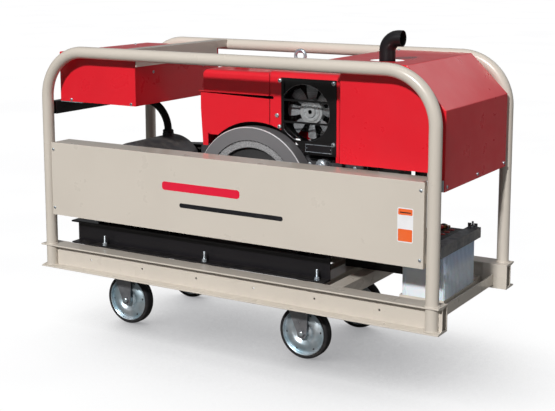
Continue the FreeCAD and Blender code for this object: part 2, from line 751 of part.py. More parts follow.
def make_key():
    """The starting key: a flat bow and a blade that turns in the lock."""
    y, z = on_panel(*KEY)
    face = -d.box_left
    bow = fuse(box(face - 26.0, y - 1.5, z - 4.0, 16.0, 3.0, 8.0),
               cylinder(face - 30.0, y - 1.5, z, 11.0, 3.0, "Y"))
    core = cylinder(face - 12.0, y, z, 4.0, 24.0, "X")
    return cut(fuse(bow, core), cylinder(face - 34.0, y - 3.0, z, 3.0, 6.0, "Y"))


def make_breaker_lever():
    """The breaker's toggle, pivoted inside the slot of its body."""
    y, z = on_panel(BREAKER[0], BREAKER[1])
    pivot_x = -d.box_left + 2.0
    hub = cylinder(pivot_x, y - 6.5, z, 5.0, 13.0, "Y")
    handle = box(pivot_x - 24.0, y - 6.5, z - 3.5, 22.0, 13.0, 7.0)
    return fuse(hub, handle)


def make_rectifier():
    """The finned rectifier stack inside the control box."""
    x0, y0, z0 = -d.box_left + 150.0, -d.box_half_width + 60.0, d.box_bottom + gauge
    base = box(x0, y0, z0, 170.0, 330.0, 26.0)
    fins = [box(x0, y0 + 30.0 * step, z0 + 26.0, 170.0, 4.0, 110.0) for step in range(11)]
    return fuse(base, *fins)


def make_end_cover():
    """The red cover at the battery end: top, slope, end and two skirts, with a hole for the stack."""
    inset = gauge * math.tan(math.radians(22.5))
    outline = [
        (d.cover_left, d.cover_bottom), (d.cover_right, d.cover_bottom), (d.cover_right, d.cover_knee),
        (d.cover_ridge, d.cover_top), (d.cover_left, d.cover_top),
    ]
    hollow_outline = [
        (d.cover_left - 1, d.cover_bottom - 1), (d.cover_right - gauge, d.cover_bottom - 1),
        (d.cover_right - gauge, d.cover_knee - inset), (d.cover_ridge - inset, d.cover_top - gauge),
        (d.cover_left - 1, d.cover_top - gauge),
    ]
    half = d.cover_half_width
    shell = cut(prism("XZ", outline, half * 2, 0, -half, 0),
                prism("XZ", hollow_outline, half * 2 - gauge * 2, 0, -half + gauge, 0))
    beside = span_box(d.cover_left - 2, d.cover_skirt_left, -half - 1, half + 1,
                      d.cover_bottom - 1, d.cover_top - gauge)
    under = span_box(d.cover_skirt_left - 1, d.skirt_return, -half - 1, half + 1,
                     d.cover_bottom - 2, d.skirt_bottom)
    hole = cylinder(d.stack_across, -d.stack_back, d.cover_top - 10.0, d.stack_hole, 20.0)
    return cut(shell, beside, under, hole, *cover_screw_holes(390.0, 950.0))


# ---------------------------------------------------------------- bed and battery

def make_bed():
    """Two channels that carry the engine and the generator, flanges turned outward, and the bearers."""
    solids = []
    flange = 7.0
    for side in (-1, 1):
        web_out = (d.bed_edge - d.bed_flange) * side
        web_in = (d.bed_edge - d.bed_flange + d.bed_web) * side
        edge = d.bed_edge * side
        high = d.bed_height
        profile = [(web_out, 0), (edge, 0), (edge, flange), (web_in, flange),
                   (web_in, high - flange), (edge, high - flange), (edge, high), (web_out, high)]
        solids.append(prism("YZ", profile, d.bed_left + d.bed_right, -d.bed_left, 0, rail_top))
    return group(*solids, engine_bearer(), *bearers())


def engine_bearer():
    """The channel along the middle, from the last bearer to the battery, open on its far side."""
    height = 92.0
    outer = span_box(370.0, 652.0, -32.0, 32.0, rail_top, rail_top + height)
    hollow = span_box(369.0, 653.0, -27.0, 33.0, rail_top + 6.0, rail_top + height - 6.0)
    return cut(outer, hollow)


BEARERS = (-640.0, -470.0, -270.0, 330.0)


def bearers():
    """Cross bearers on the bed channels, under the feet of the generator and the engine."""
    solids = []
    half = d.bearer_width / 2
    for middle in BEARERS:
        reach = d.bed_edge - 6.0
        outer = span_box(middle - half, middle + half, -reach, reach, bed_top, bearer_top)
        hollow = span_box(middle - half + 5.0, middle + half - 5.0, -d.bed_edge, d.bed_edge,
                          bed_top - 1, bearer_top - 5.0)
        solids.append(cut(outer, hollow))
    return solids


def bed_bolts():
    """A stud, a washer and a nut at each place where a bed channel is bolted down."""
    solids = []
    stud_y = d.bed_edge - 17.0
    for side in (-1, 1):
        for x in (-645.0, -133.0, 384.0):
            seat = rail_top + 7.0
            washer = cylinder(x, stud_y * side, seat, 11.0, 2.0)
            nut = hexagon(10.0, 9.0, x, stud_y * side, seat + 2.0, "XY")
            stud = cylinder(x, stud_y * side, seat, 5.0, 42.0)
            solids.append(fuse(washer, nut, stud))
    return solids


def make_battery_tray():
    """A shallow tray with upturned edges and two ears for the clamp rods."""
    right = d.battery_left + d.battery_length
    half = d.battery_half_width + 4.0
    outer = span_box(d.battery_left - 4.0, right + 3.0, -half, half, d.battery_bottom - gauge,
                     d.battery_bottom + 16.0)
    inner = span_box(d.battery_left - 2.0, right + 1.0, -half + gauge, half - gauge,
                     d.battery_bottom, d.battery_bottom + 17.0)
    ears = [span_box(right - 38.0, right - 8.0, *side_span(side, half - gauge, half + 34.0),
                     d.battery_bottom - gauge, d.battery_bottom) for side in (-1, 1)]
    holes = [cylinder(right - 23.0, (half + 21.0) * side, d.battery_bottom - 5.0, 4.2, 8.0)
             for side in (-1, 1)]
    return cut(fuse(cut(outer, inner), *ears), *holes)


def make_battery():
    """The battery: a case and a lid with six vent plugs and two lead posts."""
    right = d.battery_left + d.battery_length
    half = d.battery_half_width
    top = d.battery_bottom + d.battery_height
    case = span_box(d.battery_left, right, -half, half, d.battery_bottom, top - 22.0)
    lid = span_box(d.battery_left, right, -half, half, top - 22.0, top)
    plugs = []
    for step in range(6):
        plugs.append(cylinder(d.battery_left + 90.0, (step - 2.5) * 44.0, top, 11.0, 3.0))
    return group(case, fuse(lid, *plugs))


def make_battery_leads():
    """Clamped posts and the two leads that run to the cylinder head along the battery's lid."""
    solids = []
    top = d.battery_bottom + d.battery_height
    for side in (-1, 1):
        along = d.terminal_along * side
        post = cylinder(d.terminal_across, along, top, 9.0, 18.0)
        clamp = cylinder(d.terminal_across, along, top + 1.0, 15.0, 14.0)
        solids.append(fuse(post, clamp))
        start = (d.terminal_along - 15.5) * side
        reach = (d.terminal_along - 60.0 - 15.5) * -side
        corners = [(0, reach), (-(d.terminal_across - d.head_right), reach)]
        solids.append(bent_tube("XY", "XZ", corners, [30.0], d.lead_radius, None,
                                d.terminal_across, start, d.lead_level))
    return group(*solids)


def make_battery_clamp():
    """The angle that holds the battery down, with a rod and a wing nut at each end."""
    right = d.battery_left + d.battery_length
    top = d.battery_bottom + d.battery_height
    half = d.clamp_half_length
    arm = span_box(right - 44.0, right + 5.0, -half, half, top + 0.3, top + 4.3)
    lip = span_box(right + 1.0, right + 5.0, -half, half, top - 36.0, top + 4.3)
    rods = []
    holes = []
    for side in (-1, 1):
        rod_y = (d.battery_half_width + 25.0) * side
        rod_x = right - 23.0
        rod = cylinder(rod_x, rod_y, d.battery_bottom - 12.0, 4.0, d.battery_height + 40.0)
        hub = cylinder(rod_x, rod_y, top + 4.3, 8.0, 9.0)
        wings = [box(rod_x - 20.0 + 26.0 * step, rod_y - 1.5, top + 6.0, 14.0, 3.0, 15.0) for step in (0, 1)]
        foot_nut = hexagon(8.0, 6.0, rod_x, rod_y, d.battery_bottom - gauge - 6.0, "XY")
        rods.append(fuse(rod, hub, foot_nut, *wings))
        holes.append(cylinder(rod_x, rod_y, top - 2.0, 4.3, 10.0))
    return group(cut(fuse(arm, lip), *holes), *rods)


# ---------------------------------------------------------------- engine

def make_block():
    """The crankcase and cylinder with the crankshaft bore and the mounting feet."""
    half = d.block_half_width
    left, right = -d.block_left, d.block_right
    crankcase = span_box(left + 20.0, 200.0, -half, half, bearer_top + 14.0, d.crankcase_top)
    cylinder_part = span_box(200.0, right, -half, half, bearer_top + 14.0, d.cylinder_top)
    feet = [span_box(x - 40.0, x + 40.0, -half - 40.0,
                     half + 40.0, bearer_top, bearer_top + 14.0) for x in BEARERS[2:]]
    boss = cylinder(d.crank_across, half, d.crank_height, 62.0, 18.0, "Y")
    tank_seat = span_box(-d.tank_left + 18.0, d.tank_right - 12.0, -half + 14.0, half - 14.0,
                         d.crankcase_top, d.tank_bottom)
    bore = cylinder(d.crank_across, -half - 2, d.crank_height, d.shaft_radius + d.running_gap,
                    half * 2 + 24.0, "Y")
    return cut(fuse(crankcase, cylinder_part, boss, tank_seat, *feet), bore)


def make_head():
    """The cylinder head with its valve cover and the stub that the exhaust leaves by."""
    x0, x1 = d.block_right, d.head_right
    head = span_box(x0, x1, -78.0, 78.0, 490.0, 735.0)
    ribs = [span_box(x0 + 22.0 * step + 6.0, x0 + 22.0 * step + 12.0, -84.0, 84.0,
                     500.0, 725.0) for step in range(5)]
    return fuse(head, *ribs)


def make_muffler():
    """The muffler barrel with its inlet pipe from the head and the neck that carries the stack."""
    back = -d.stack_back
    radius = d.muffler_radius
    length = d.muffler_right - d.muffler_left
    bevel = 14.0
    outline = [(0, 0), (radius - bevel, 0), (radius, bevel), (radius, length - bevel),
               (radius - bevel, length), (0, length)]
    barrel = turned(outline, d.muffler_left, back, d.muffler_height, "X")
    neck = cylinder(d.stack_across, back, d.muffler_height + radius - 12.0, d.stack_outer + 5.0, 47.0)
    inlet = bent_tube("YZ", "XZ", [(-60.0, 0), (-60.0, 240.0)], [40.0],
                      22.0, None, 545.0, -90.0, 690.0)
    collar = cylinder(545.0, -90.0, 690.0, 32.0, 6.0, "Y")
    return fuse(barrel, neck, inlet, collar)


def make_stack():
    """The exhaust pipe: up through the cover, then a square bend towards +X."""
    foot = d.muffler_height + d.muffler_radius + 35.0
    rise = d.stack_axis_top - foot
    corners = [(0, rise), (d.stack_outlet - d.stack_across, rise)]
    return bent_tube("XZ", "XY", corners, [d.stack_bend], d.stack_outer, d.stack_inner,
                     d.stack_across, -d.stack_back, foot)


def make_air_cleaner():
    """The air cleaner can and the hose stub that leads to the head."""
    can = turned([(0, 0), (72, 0), (76, 6), (76, 60), (80, 62), (80, 72), (76, 74), (76, 190), (66, 206),
                  (26, 206), (26, 230), (0, 230)], 650.0, 130.0, 800.0, "Z")
    hose = bent_tube("XZ", "XY", [(0, -130.0), (-50.0, -130.0)], [42.0],
                     24.0, None, 650.0, 60.0, 801.0)
    shelf = box(600.0, 34.0, 801.0, 100.0, 60.0, 8.0)
    return fuse(can, hose, shelf)


def make_tank():
    """The fuel tank, rounded along its edges, with a lip round its foot and a filler neck."""
    block = span_box(-d.tank_left, d.tank_right, -d.hood_front, d.hood_back, d.tank_bottom, d.tank_top)
    top = d.tank_top.value
    rounded = round_edges(block, 20.0, lambda point: point.z > top - 1)
    neck = cylinder(-150.0, 20.0, d.tank_top - 3.0, 24.0, 11.0)
    lip = span_box(-d.tank_left - d.tank_lip, d.tank_right, -d.hood_front - 6.0, d.hood_back + 6.0,
                   d.tank_bottom, d.tank_bottom + 4.0)
    return fuse(rounded, neck, lip)


def make_fuel_cap():
    """The fuel cap: a knurled disc on the filler neck."""
    cap = turned([(0, 0), (31, 0), (31, 14), (27, 18), (0, 18)], -150.0, 20.0, d.tank_top + 8.3)
    grips = [cylinder(-150.0 + 34.0 * math.cos(math.radians(30 * step)),
                      20.0 + 34.0 * math.sin(math.radians(30 * step)), d.tank_top + 7.0, 5.0, 20.0)
             for step in range(12)]
    return cut(cap, *grips)


def arch_tool(front, depth):
    """The round clearance over the flywheel, taken out of each sheet that it passes through."""
    return cylinder(d.arch_across, front, d.arch_height, d.arch_radius, depth, "Y")


def make_side_panels():
    """The red panels under the tank: a near one with an arch, a far one and a flanged end one."""
    end, foot = -d.end_left, d.end_bottom
    left, right = -d.side_left, d.hood_left - 2.0
    low, high = d.side_bottom, d.tank_bottom - 4.0
    near = [(left, high), (left + 20.0, low), (right, low), (right, d.slot_height)]
    sheet = round_edges(prism("XZ", near, gauge, 0, -d.hood_front, 0), 22.0,
                        lambda point: point.x < -200.0 and point.z < value_of(low) + 1.0)
    front = cut(sheet, arch_tool(-d.hood_front - 5.0, 12.0))
    edge = [(end, high), (end, 940.0), (end + 10.0, foot)]
    flange = prism("XZ", edge + [(end + 35.0, foot), (end + 35.0, high)], gauge,
                   0, -d.hood_front + gauge, 0)
    inner_edge = [(x + gauge, z) for x, z in reversed(edge)]
    plate = prism("XZ", edge + inner_edge, d.hood_front + d.hood_back - gauge,
                  0, -d.hood_front + gauge, 0)
    back = prism("XZ", edge + [(right, foot), (right, high)], gauge, 0, d.hood_back - gauge, 0)
    lever_hole = cylinder(end - 4.0, -60.0, 900.0, 6.05, 12.0, "X")
    return cut(fuse(front, flange, plate, back), lever_hole)


def make_radiator_hood():
    """The red hood over the radiator, open underneath, with a window for the fan screen."""
    left, right = d.hood_left, d.hood_right
    front, back = -d.hood_front + gauge, d.hood_back
    outer = span_box(left, right, front, back, d.hood_bottom, d.hood_top)
    top = d.hood_top.value
    rounded = round_edges(outer, 24.0, lambda point: point.z > top - 1 and abs(point.y - front.value) < 0.1)
    inner = span_box(left - 1, right - gauge, front + gauge, back - gauge,
                     d.hood_bottom - 1, d.hood_top - gauge)
    rounded_inner = round_edges(inner, 22.0, lambda point: point.z > top - 3
                                and abs(point.y - front.value - gauge.value) < 0.1)
    window = span_box(d.screen_left + 6.0, d.screen_right - 6.0, front - 5.0, front + 8.0,
                      d.screen_bottom + 8.0, d.screen_top - 8.0)
    back_window = span_box(d.screen_left + 6.0, d.screen_right - 6.0, back - 8.0, back + 5.0,
                           d.screen_bottom + 28.0, d.screen_top - 28.0)
    eye_hole = cylinder(d.eye_across, 0, d.hood_top - 10.0, 8.0, 20.0)
    low = span_box(left - 1, d.screen_right - 2.0, front - 5.0, front + 8.0, d.hood_bottom - 1,
                   d.screen_bottom + 9.0)
    arch = arch_tool(front - 5.0, 10.0)
    slot_middle = (d.slot_height + d.tank_bottom) / 2
    slot = span_box(left - 1, left + 10.0, front - 5.0, front + 5.0, d.slot_height, d.tank_bottom)
    slot_end = cylinder(left + 10.0, front - 5.0, slot_middle, 6.0, 10.0, "Y")
    return cut(rounded, rounded_inner, window, back_window, eye_hole, low, arch, slot, slot_end)


def make_screen():
    """The black fan screen: a plate with a window and two guard bars, and the ring behind it."""
    left, right = d.screen_left, d.screen_right
    low, high = d.screen_bottom, d.screen_top
    front = -d.hood_front
    plate = span_box(left, right, front, front + gauge, low, high)
    window = span_box(left + 12.0, right - 12.0, front - 1, front + gauge + 1, low + 52.0, high - 14.0)
    bars = [span_box(left + 6.0, right - 6.0, front, front + gauge, z - 4.0,
                     z + 4.0) for z in (914.0, 1000.0)]
    shroud = span_box(left + 8.0, right - 8.0, -104.0, -101.0, low + 10.0, high - 10.0)
    ring = cylinder(d.fan_across, -108.0, d.fan_height, d.fan_ring + 3.0, 40.0, "Y")
    throat = cylinder(d.fan_across, -110.0, d.fan_height, d.fan_ring, 44.0, "Y")
    trim = span_box(left - 50.0, right + 50.0, -120.0, -60.0, high - 10.0, high + 60.0)
    trim_right = span_box(right - 8.0, right + 60.0, -120.0, -60.0, low, high)
    arches = [arch_tool(front - 5.0, 12.0), arch_tool(-112.0, 16.0)]
    return group(cut(fuse(cut(plate, window), *bars), arches[0]),
                 cut(fuse(shroud, ring), throat, trim, trim_right, arches[1]))


def make_radiator():
    """The radiator: core, upper and lower tanks, and the bearing that the fan turns in."""
    x0, x1 = d.hood_left + 12.0, d.hood_right - 10.0
    core = span_box(x0, x1, -30.0, 34.0, 860.0, 1040.0)
    upper = span_box(x0, x1, -40.0, 60.0, 1040.0, 1094.0)
    lower = span_box(x0 + 112.0, x1, -40.0, 60.0, 776.0, 860.0)
    bearing = cylinder(d.fan_across, -58.0, d.fan_height, 20.0, 28.0, "Y")
    bore = cylinder(d.fan_across, -60.0, d.fan_height, d.fan_shaft + d.running_gap, 26.0, "Y")
    tapped = cylinder(d.eye_across, 0, 1080.0, 7.0, 20.0)
    return cut(fuse(core, upper, lower, bearing), bore, tapped)


def make_fan():
    """A hub with eight pitched blades, patterned round it, on a short shaft."""
    body = DOC.addObject("PartDesign::Body", "body")
    hub_profile = [(0, 0), (d.fan_hub, 0), (d.fan_hub, 26), (20, 34), (0, 34)]
    sketch = polygon_sketch(body, "XZ", hub_profile)
    spin = body.newObject("PartDesign::Revolution", "spin")
    spin.Profile = sketch
    spin.ReferenceAxis = (sketch, ["V_Axis"])
    spin.Angle = 360
    DOC.recompute()
    reach = d.fan_radius - 3.0
    blade_section = polygon_sketch(body, "YZ", [(-18, 4), (-15, 1), (18, 20), (15, 23)])
    blade = body.newObject("PartDesign::Pad", "blade")
    blade.Profile = blade_section
    bind(blade, "Length", reach)
    DOC.recompute()
    pattern = body.newObject("PartDesign::PolarPattern", "blades")
    pattern.Originals = [blade]
    pattern.Axis = (sketch, ["V_Axis"])
    pattern.Angle = 360
    pattern.Occurrences = 8
    body.Tip = pattern
    DOC.recompute()
    towards_front = FreeCAD.Rotation(FreeCAD.Vector(1, 0, 0), 90)
    place(body, d.fan_across, -66.0, d.fan_height, towards_front)
    shaft = cylinder(d.fan_across, -68.0, d.fan_height, d.fan_shaft, 30.0, "Y")
    return fuse(body, shaft)


def pulley(radius, x, y, z):
    """A two-groove pulley with its axis along Y."""
    groove = radius - d.belt_depth - d.fit_gap
    width, slot = d.drive_width, d.belt_width + 1.0
    land = (width - slot * 2) / 3
    profile = [(0, 0), (radius, 0), (radius, land), (groove, land), (groove, land + slot),
               (radius, land + slot), (radius, land * 2 + slot), (groove, land * 2 + slot),
               (groove, land * 2 + slot * 2), (radius, land * 2 + slot * 2), (radius, width), (0, width)]
    return turned(profile, x, y, z, "Y")


def make_flywheel():
    """The flywheel on the crankshaft, which passes through the block to the driving pulley."""
    radius, width = d.flywheel_radius, d.flywheel_width
    profile = [(0, 0), (70, 0), (70, 16), (radius - 84.0, 24), (radius - 84.0, 5), (radius - 56.0, 5),
               (radius - 54.0, 0), (radius - 3.0, 0), (radius, 3), (radius, width), (radius - 40.0, width),
               (radius - 48.0, 40), (70, 40), (70, width), (0, width)]
    wheel = turned(profile, d.crank_across, -d.flywheel_face, d.crank_height, "Y")
    end = d.drive_start + d.drive_width + 4.0
    shaft = cylinder(d.crank_across, -d.flywheel_face - 6.0, d.crank_height, d.shaft_radius,
                     end + d.flywheel_face + 6.0, "Y")
    rotor = fuse(wheel, shaft, pulley(d.crank_pulley, d.crank_across, d.drive_start, d.crank_height))
    windows = []
    for step in range(6):
        angle = math.radians(60 * step + 30)
        windows.append(cylinder(d.crank_across + 122.0 * math.cos(angle), -d.flywheel_face - 2.0,
                                d.crank_height + 122.0 * math.sin(angle), 24.0, 70.0, "Y"))
    return cut(rotor, *windows)


def make_throttle():
    """The speed lever on the end panel, on a pin that turns in its hole."""
    left = -d.end_left
    pin = cylinder(left - 14.0, -60.0, 900.0, 6.0, 22.0, "X")
    arm = box(left - 10.0, -66.0, 900.0, 4.0, 12.0, 78.0)
    grip = cylinder(left - 22.0, -60.0, 978.0, 9.0, 16.0, "X")
    return fuse(pin, arm, grip)


def make_eye():
    """The lifting eye: a ring on a collar, screwed down through the hood."""
    ring = torus(d.eye_across, 0, d.eye_height, d.eye_ring, d.eye_bar, "Y")
    collar = turned([(0, 0), (18, 0), (18, 6), (9, 16), (9, 28), (0, 28)], d.eye_across, 0, d.hood_top + 0.2)
    stem = cylinder(d.eye_across, 0, 1082.0, 6.8, d.hood_top - 1082.0 + 1.0)
    hole = cylinder(d.eye_across, -20.0, d.eye_height, d.eye_ring - d.eye_bar, 40.0, "Y")
    return fuse(ring, cut(collar, hole), stem)


# ---------------------------------------------------------------- generator and drive

def make_generator():
    """The generator: ribbed barrel, end bells, feet and the boss that the conduit enters."""
    x, z, radius = -d.generator_across, d.generator_height, d.generator_radius
    front, back = -d.generator_front, d.generator_back
    length = d.generator_back + d.generator_front
    barrel = turned([(0, 0), (radius - 26.0, 0), (radius - 6.0, 12), (radius, 26), (radius, length - 8.0),
                     (radius - 6.0, length), (0, length)], x, front, z, "Y")
    feet = [span_box(x + offset - 20.0, x + offset + 20.0, front + 30.0, back - 30.0, bearer_top, z - 90.0)
            for offset in (-86.0, 86.0)]
    boss = cylinder(x, d.conduit_along, z + radius - 10.0, 25.0, 20.0)
    bore = cylinder(x, back - 46.0, z, d.rotor_shaft + d.running_gap, 60.0, "Y")
    return cut(fuse(barrel, boss, *feet), bore)


def make_rotor():
    """The part of the rotor outside the generator: its shaft end and pulley."""
    x, z = -d.generator_across, d.generator_height
    shaft = cylinder(x, d.generator_back - 44.0, z, d.rotor_shaft,
                     d.drive_start + d.drive_width - d.generator_back + 46.0, "Y")
    return fuse(shaft, pulley(d.rotor_pulley, x, d.drive_start, z))


def loop_wire(small, large):
    """An open-belt outline round the generator pulley and the crank pulley, in the XZ plane."""
    x0, z0 = -d.generator_across.value, d.generator_height.value
    x1, z1 = d.crank_across.value, d.crank_height.value
    distance = math.hypot(x1 - x0, z1 - z0)
    tilt = math.atan2(z1 - z0, x1 - x0)
    lean = math.asin((large - small) / distance)

    def point(x, z, radius, angle):
        return FreeCAD.Vector(x + radius * math.cos(angle), 0, z + radius * math.sin(angle))

    upper = tilt + math.pi / 2 + lean
    lower = tilt - math.pi / 2 - lean
    top_small, top_large = point(x0, z0, small, upper), point(x1, z1, large, upper)
    low_small, low_large = point(x0, z0, small, lower), point(x1, z1, large, lower)
    far_small = point(x0, z0, small, tilt + math.pi)
    far_large = point(x1, z1, large, tilt)
    return Part.Wire([
        Part.LineSegment(top_small, top_large).toShape(),
        Part.Arc(top_large, far_large, low_large).toShape(),
        Part.LineSegment(low_large, low_small).toShape(),
        Part.Arc(low_small, far_small, top_small).toShape(),
    ])


def loop_solid(clearance, start, width):
    """The belt outline, widened all round by a clearance, as a flat solid."""
    wire = loop_wire(d.rotor_pulley.value + clearance, d.crank_pulley.value + clearance)
    solid = Part.Face(wire).extrude(FreeCAD.Vector(0, width, 0))
    solid.translate(FreeCAD.Vector(0, start, 0))
    return solid


def loop_feature(shape):
    obj = DOC.addObject("Part::Feature", "loop")
    obj.Shape = shape
    obj.Placement = FreeCAD.Placement()
    return obj


def make_belts():
    """Two V-belts, each in its own pair of grooves."""
    slot = d.belt_width.value + 1.0
    land = (d.drive_width.value - slot * 2) / 3
    belts = []
    for row in (0, 1):
        start = d.drive_start.value + land + (land + slot) * row + 0.5
        outer = loop_solid(0.0, start, d.belt_width.value)
        inner = loop_solid(-d.belt_depth.value, start, d.belt_width.value)
        belts.append(loop_feature(outer.cut(inner)))
    return group(*belts)


def make_belt_guard():
    """The cover over the belts: a cup open towards the engine, on a bracket from a bearer."""
    margin = d.guard_margin.value
    start = d.drive_start.value - 11.0
    width = d.drive_width.value + 24.0
    outer = loop_solid(margin, start, width)
    inner = loop_solid(margin - gauge.value, start - 1.0, width - gauge.value + 1.0)
    cup = loop_feature(outer.cut(inner))
    strip_y = start + width - 12.0
    feet = []
    for x, top in ((BEARERS[1], 540.0), (BEARERS[2], 506.0)):
        feet.append(span_box(x - 15.0, x + 15.0,
                             strip_y, strip_y + 4.0,
                             bearer_top, top))
    room = loop_feature(loop_solid(margin - gauge.value, start, width))
    return fuse(cup, *[cut(foot, room) for foot in feet])


def make_conduit():
    """The conduit from the control tray to the generator: down, across, and down again."""
    end_rise = d.generator_height + d.generator_radius + 10.0 - d.box_bottom
    across = d.conduit_start - d.generator_across
    level = d.conduit_level - d.box_bottom
    corners = [(0, level), (across, level), (across, end_rise)]
    bends = [20.0, 128.0]
    return bent_tube("XZ", "XY", corners, bends, d.conduit_radius, None,
                     -d.conduit_start, d.conduit_along, d.box_bottom)


# ---------------------------------------------------------------- casters

def make_caster_plates():
    """Four top plates, each with its ball race and kingpin."""
    plates = []
    top = d.rail_bottom
    for _, axle_x in CASTER_PLACES:
        for side in (-1, 1):
            x, y = axle_x - d.fork_offset, d.caster_track * side
            plate = box(x - d.plate_length / 2, y - d.plate_width / 2, top - d.plate_gauge,
                        d.plate_length, d.plate_width, d.plate_gauge)
            race = cylinder(x, y, top - d.plate_gauge - d.race_height, d.race_radius, d.race_height)
            pin = cylinder(x, y, d.crown_bottom, d.kingpin_radius, top - d.crown_bottom)
            plates.append(fuse(plate, race, pin))
    return group(*plates)


def make_fork(axle_x, side):
    """A caster fork: a round crown over two tapered legs, and the axle bolt with its nut."""
    y = d.caster_track * side
    x = axle_x
    king_x = x - d.fork_offset
    low = d.crown_bottom
    crown_top = d.rail_bottom - d.plate_gauge - d.race_height - d.fit_gap
    inner = d.wheel_width / 2 + 7.0
    crown = fuse(box(king_x - 48.0, y - inner - d.fork_gauge, low, 96.0, inner * 2 + d.fork_gauge * 2, 5.0),
                 cylinder(king_x, y, low, d.race_radius, crown_top - low))
    pin_hole = cylinder(king_x, y, low - 1, d.kingpin_radius + d.running_gap, 20.0)
    axle_z = d.wheel_radius
    outline = [(-68, low - axle_z), (28, low - axle_z), (22, 0), (16, -18), (0, -24), (-16, -18), (-22, 4)]
    legs = []
    for leg_y in (y - inner - d.fork_gauge, y + inner):
        legs.append(prism("XZ", outline, d.fork_gauge, x, leg_y, axle_z))
    frame = fuse(cut(crown, pin_hole), *legs)
    reach = inner + d.fork_gauge
    holes = cylinder(x, y - reach - 1, axle_z, d.axle_radius, reach * 2 + 2, "Y")
    bolt = cylinder(x, y - reach - 5.0, axle_z, d.axle_radius, reach * 2 + 10.0, "Y")
    caps = [hexagon(15.0, 7.0, x, y - reach - 7.0, axle_z, "XZ"),
            hexagon(15.0, 7.0, x, y + reach, axle_z, "XZ")]
    return group(cut(frame, holes), fuse(bolt, *caps))


def make_wheel(axle_x, side):
    """A wheel of two pressed discs on a hub tube, hollow outside the web."""
    half = d.wheel_width / 2
    rim = d.wheel_radius - d.tyre_depth
    bore = d.axle_radius + d.running_gap
    hub = half + 4.0
    profile = [(bore, -hub), (19, -hub), (19, -half + 6.0), (34, -half + 10.0), (46, -half + 1.0),
               (62, -half + 4.0), (rim - 8.0, -half + 12.0), (rim - 3.0, -half + 1.0), (rim, -half + 1.0),
               (rim, half - 1.0), (rim - 3.0, half - 1.0), (rim - 8.0, half - 12.0), (62, half - 4.0),
               (46, half - 1.0), (34, half - 10.0), (19, half - 6.0), (19, hub), (bore, hub)]
    disc = turned(profile, axle_x, d.caster_track * side, d.wheel_radius, "Y")
    slots = []
    for step in range(6):
        angle = math.radians(60 * step + 24)
        slots.append(cylinder(axle_x + 74.0 * math.cos(angle), d.caster_track * side - half - 2,
                              d.wheel_radius + 74.0 * math.sin(angle), 4.0, d.wheel_width + 4.0, "Y"))
    return cut(disc, *slots)


def make_tyre(axle_x, side):
    """A solid rubber tyre on the wheel's rim."""
    half = d.wheel_width / 2
    rim, outer = d.wheel_radius - d.tyre_depth, d.wheel_radius
    profile = [(rim, -half + 2.0), (rim + 3.0, -half), (outer - 7.0, -half), (outer - 2.0, -half + 4.0),
               (outer, -half + 10.0), (outer, half - 10.0), (outer - 2.0, half - 4.0), (outer - 7.0, half),
               (rim + 3.0, half), (rim, half - 2.0)]
    return turned(profile, axle_x, d.caster_track * side, d.wheel_radius, "Y")


# ---------------------------------------------------------------- the assembly

def build():
    for name, side in (("near", -1), ("far", 1)):
        keep(make_rail(side), f"rail_{name}")
        keep(make_hoop(side), f"hoop_{name}")
    makers = {
        "guard_panel": make_guard,
        "cross_members": make_cross_members,
        "frame_lugs": make_frame_lugs,
        "top_channel": make_top_channel,
        "support_channel": make_support_channel,
        "fasteners": make_fasteners,
        "control_cover": make_control_cover,
        "control_tray": make_control_tray,
        "control_panel": make_control_panel,
        "panel_instruments": make_panel_instruments,
        "outlet_sockets": make_sockets,
        "output_terminals": make_terminals,
        "current_dial": make_dial,
        "start_key": make_key,
        "breaker_lever": make_breaker_lever,
        "rectifier_stack": make_rectifier,
        "end_cover": make_end_cover,
        "bed_channels": make_bed,
        "battery_tray": make_battery_tray,
        "battery": make_battery,
        "battery_leads": make_battery_leads,
        "battery_clamp": make_battery_clamp,
        "engine_block": make_block,
        "cylinder_head": make_head,
        "muffler": make_muffler,
        "exhaust_stack": make_stack,
        "air_cleaner": make_air_cleaner,
        "fuel_tank": make_tank,
        "fuel_cap": make_fuel_cap,
        "side_panels": make_side_panels,
        "radiator_hood": make_radiator_hood,
        "fan_screen": make_screen,
        "radiator": make_radiator,
        "cooling_fan": make_fan,
        "flywheel": make_flywheel,
        "throttle_lever": make_throttle,
        "lifting_eye": make_eye,
        "generator": make_generator,
        "generator_rotor": make_rotor,
        "drive_belts": make_belts,
        "belt_guard": make_belt_guard,
        "conduit": make_conduit,
        "caster_plates": make_caster_plates,
    }
    for name, maker in makers.items():
        keep(maker(), name)
    for end, axle_x in CASTER_PLACES:
        for name, side in (("near", -1), ("far", 1)):
            keep(make_fork(axle_x, side), f"fork_{end}_{name}")
            keep(make_wheel(axle_x, side), f"wheel_{end}_{name}")
            keep(make_tyre(axle_x, side), f"tyre_{end}_{name}")


def check():
    """Stop if any object failed, or if a sub-part has no sound solid."""
    for obj in DOC.Objects:
        if "Invalid" in obj.State or "Error" in obj.State:
            users = [user.Label for user in obj.InList]
            raise RuntimeError(f"{obj.Name} ({obj.Label}), used by {users}, is {obj.State}")
    for obj in SUB_PARTS:
        if obj.Shape.isNull() or not obj.Shape.isValid() or not obj.Shape.Solids:
            raise RuntimeError(f"{obj.Label} has no sound solid")


def write():
    os.makedirs("parts", exist_ok=True)
    for obj in SUB_PARTS:
        obj.Shape.exportStep(os.path.join("parts", f"{obj.Label}.step"))
        print(f"{obj.Label}: {len(obj.Shape.Solids)} solids, {obj.Shape.Volume / 1000:.1f} cm3")


build()
DOC.recompute()
check()
write()
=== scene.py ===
"""Looks of an engine driven welder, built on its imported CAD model. Lengths are metres in the CAD frame."""

import json
import math
import random

import bmesh
import bpy
from mathutils import Matrix, Vector


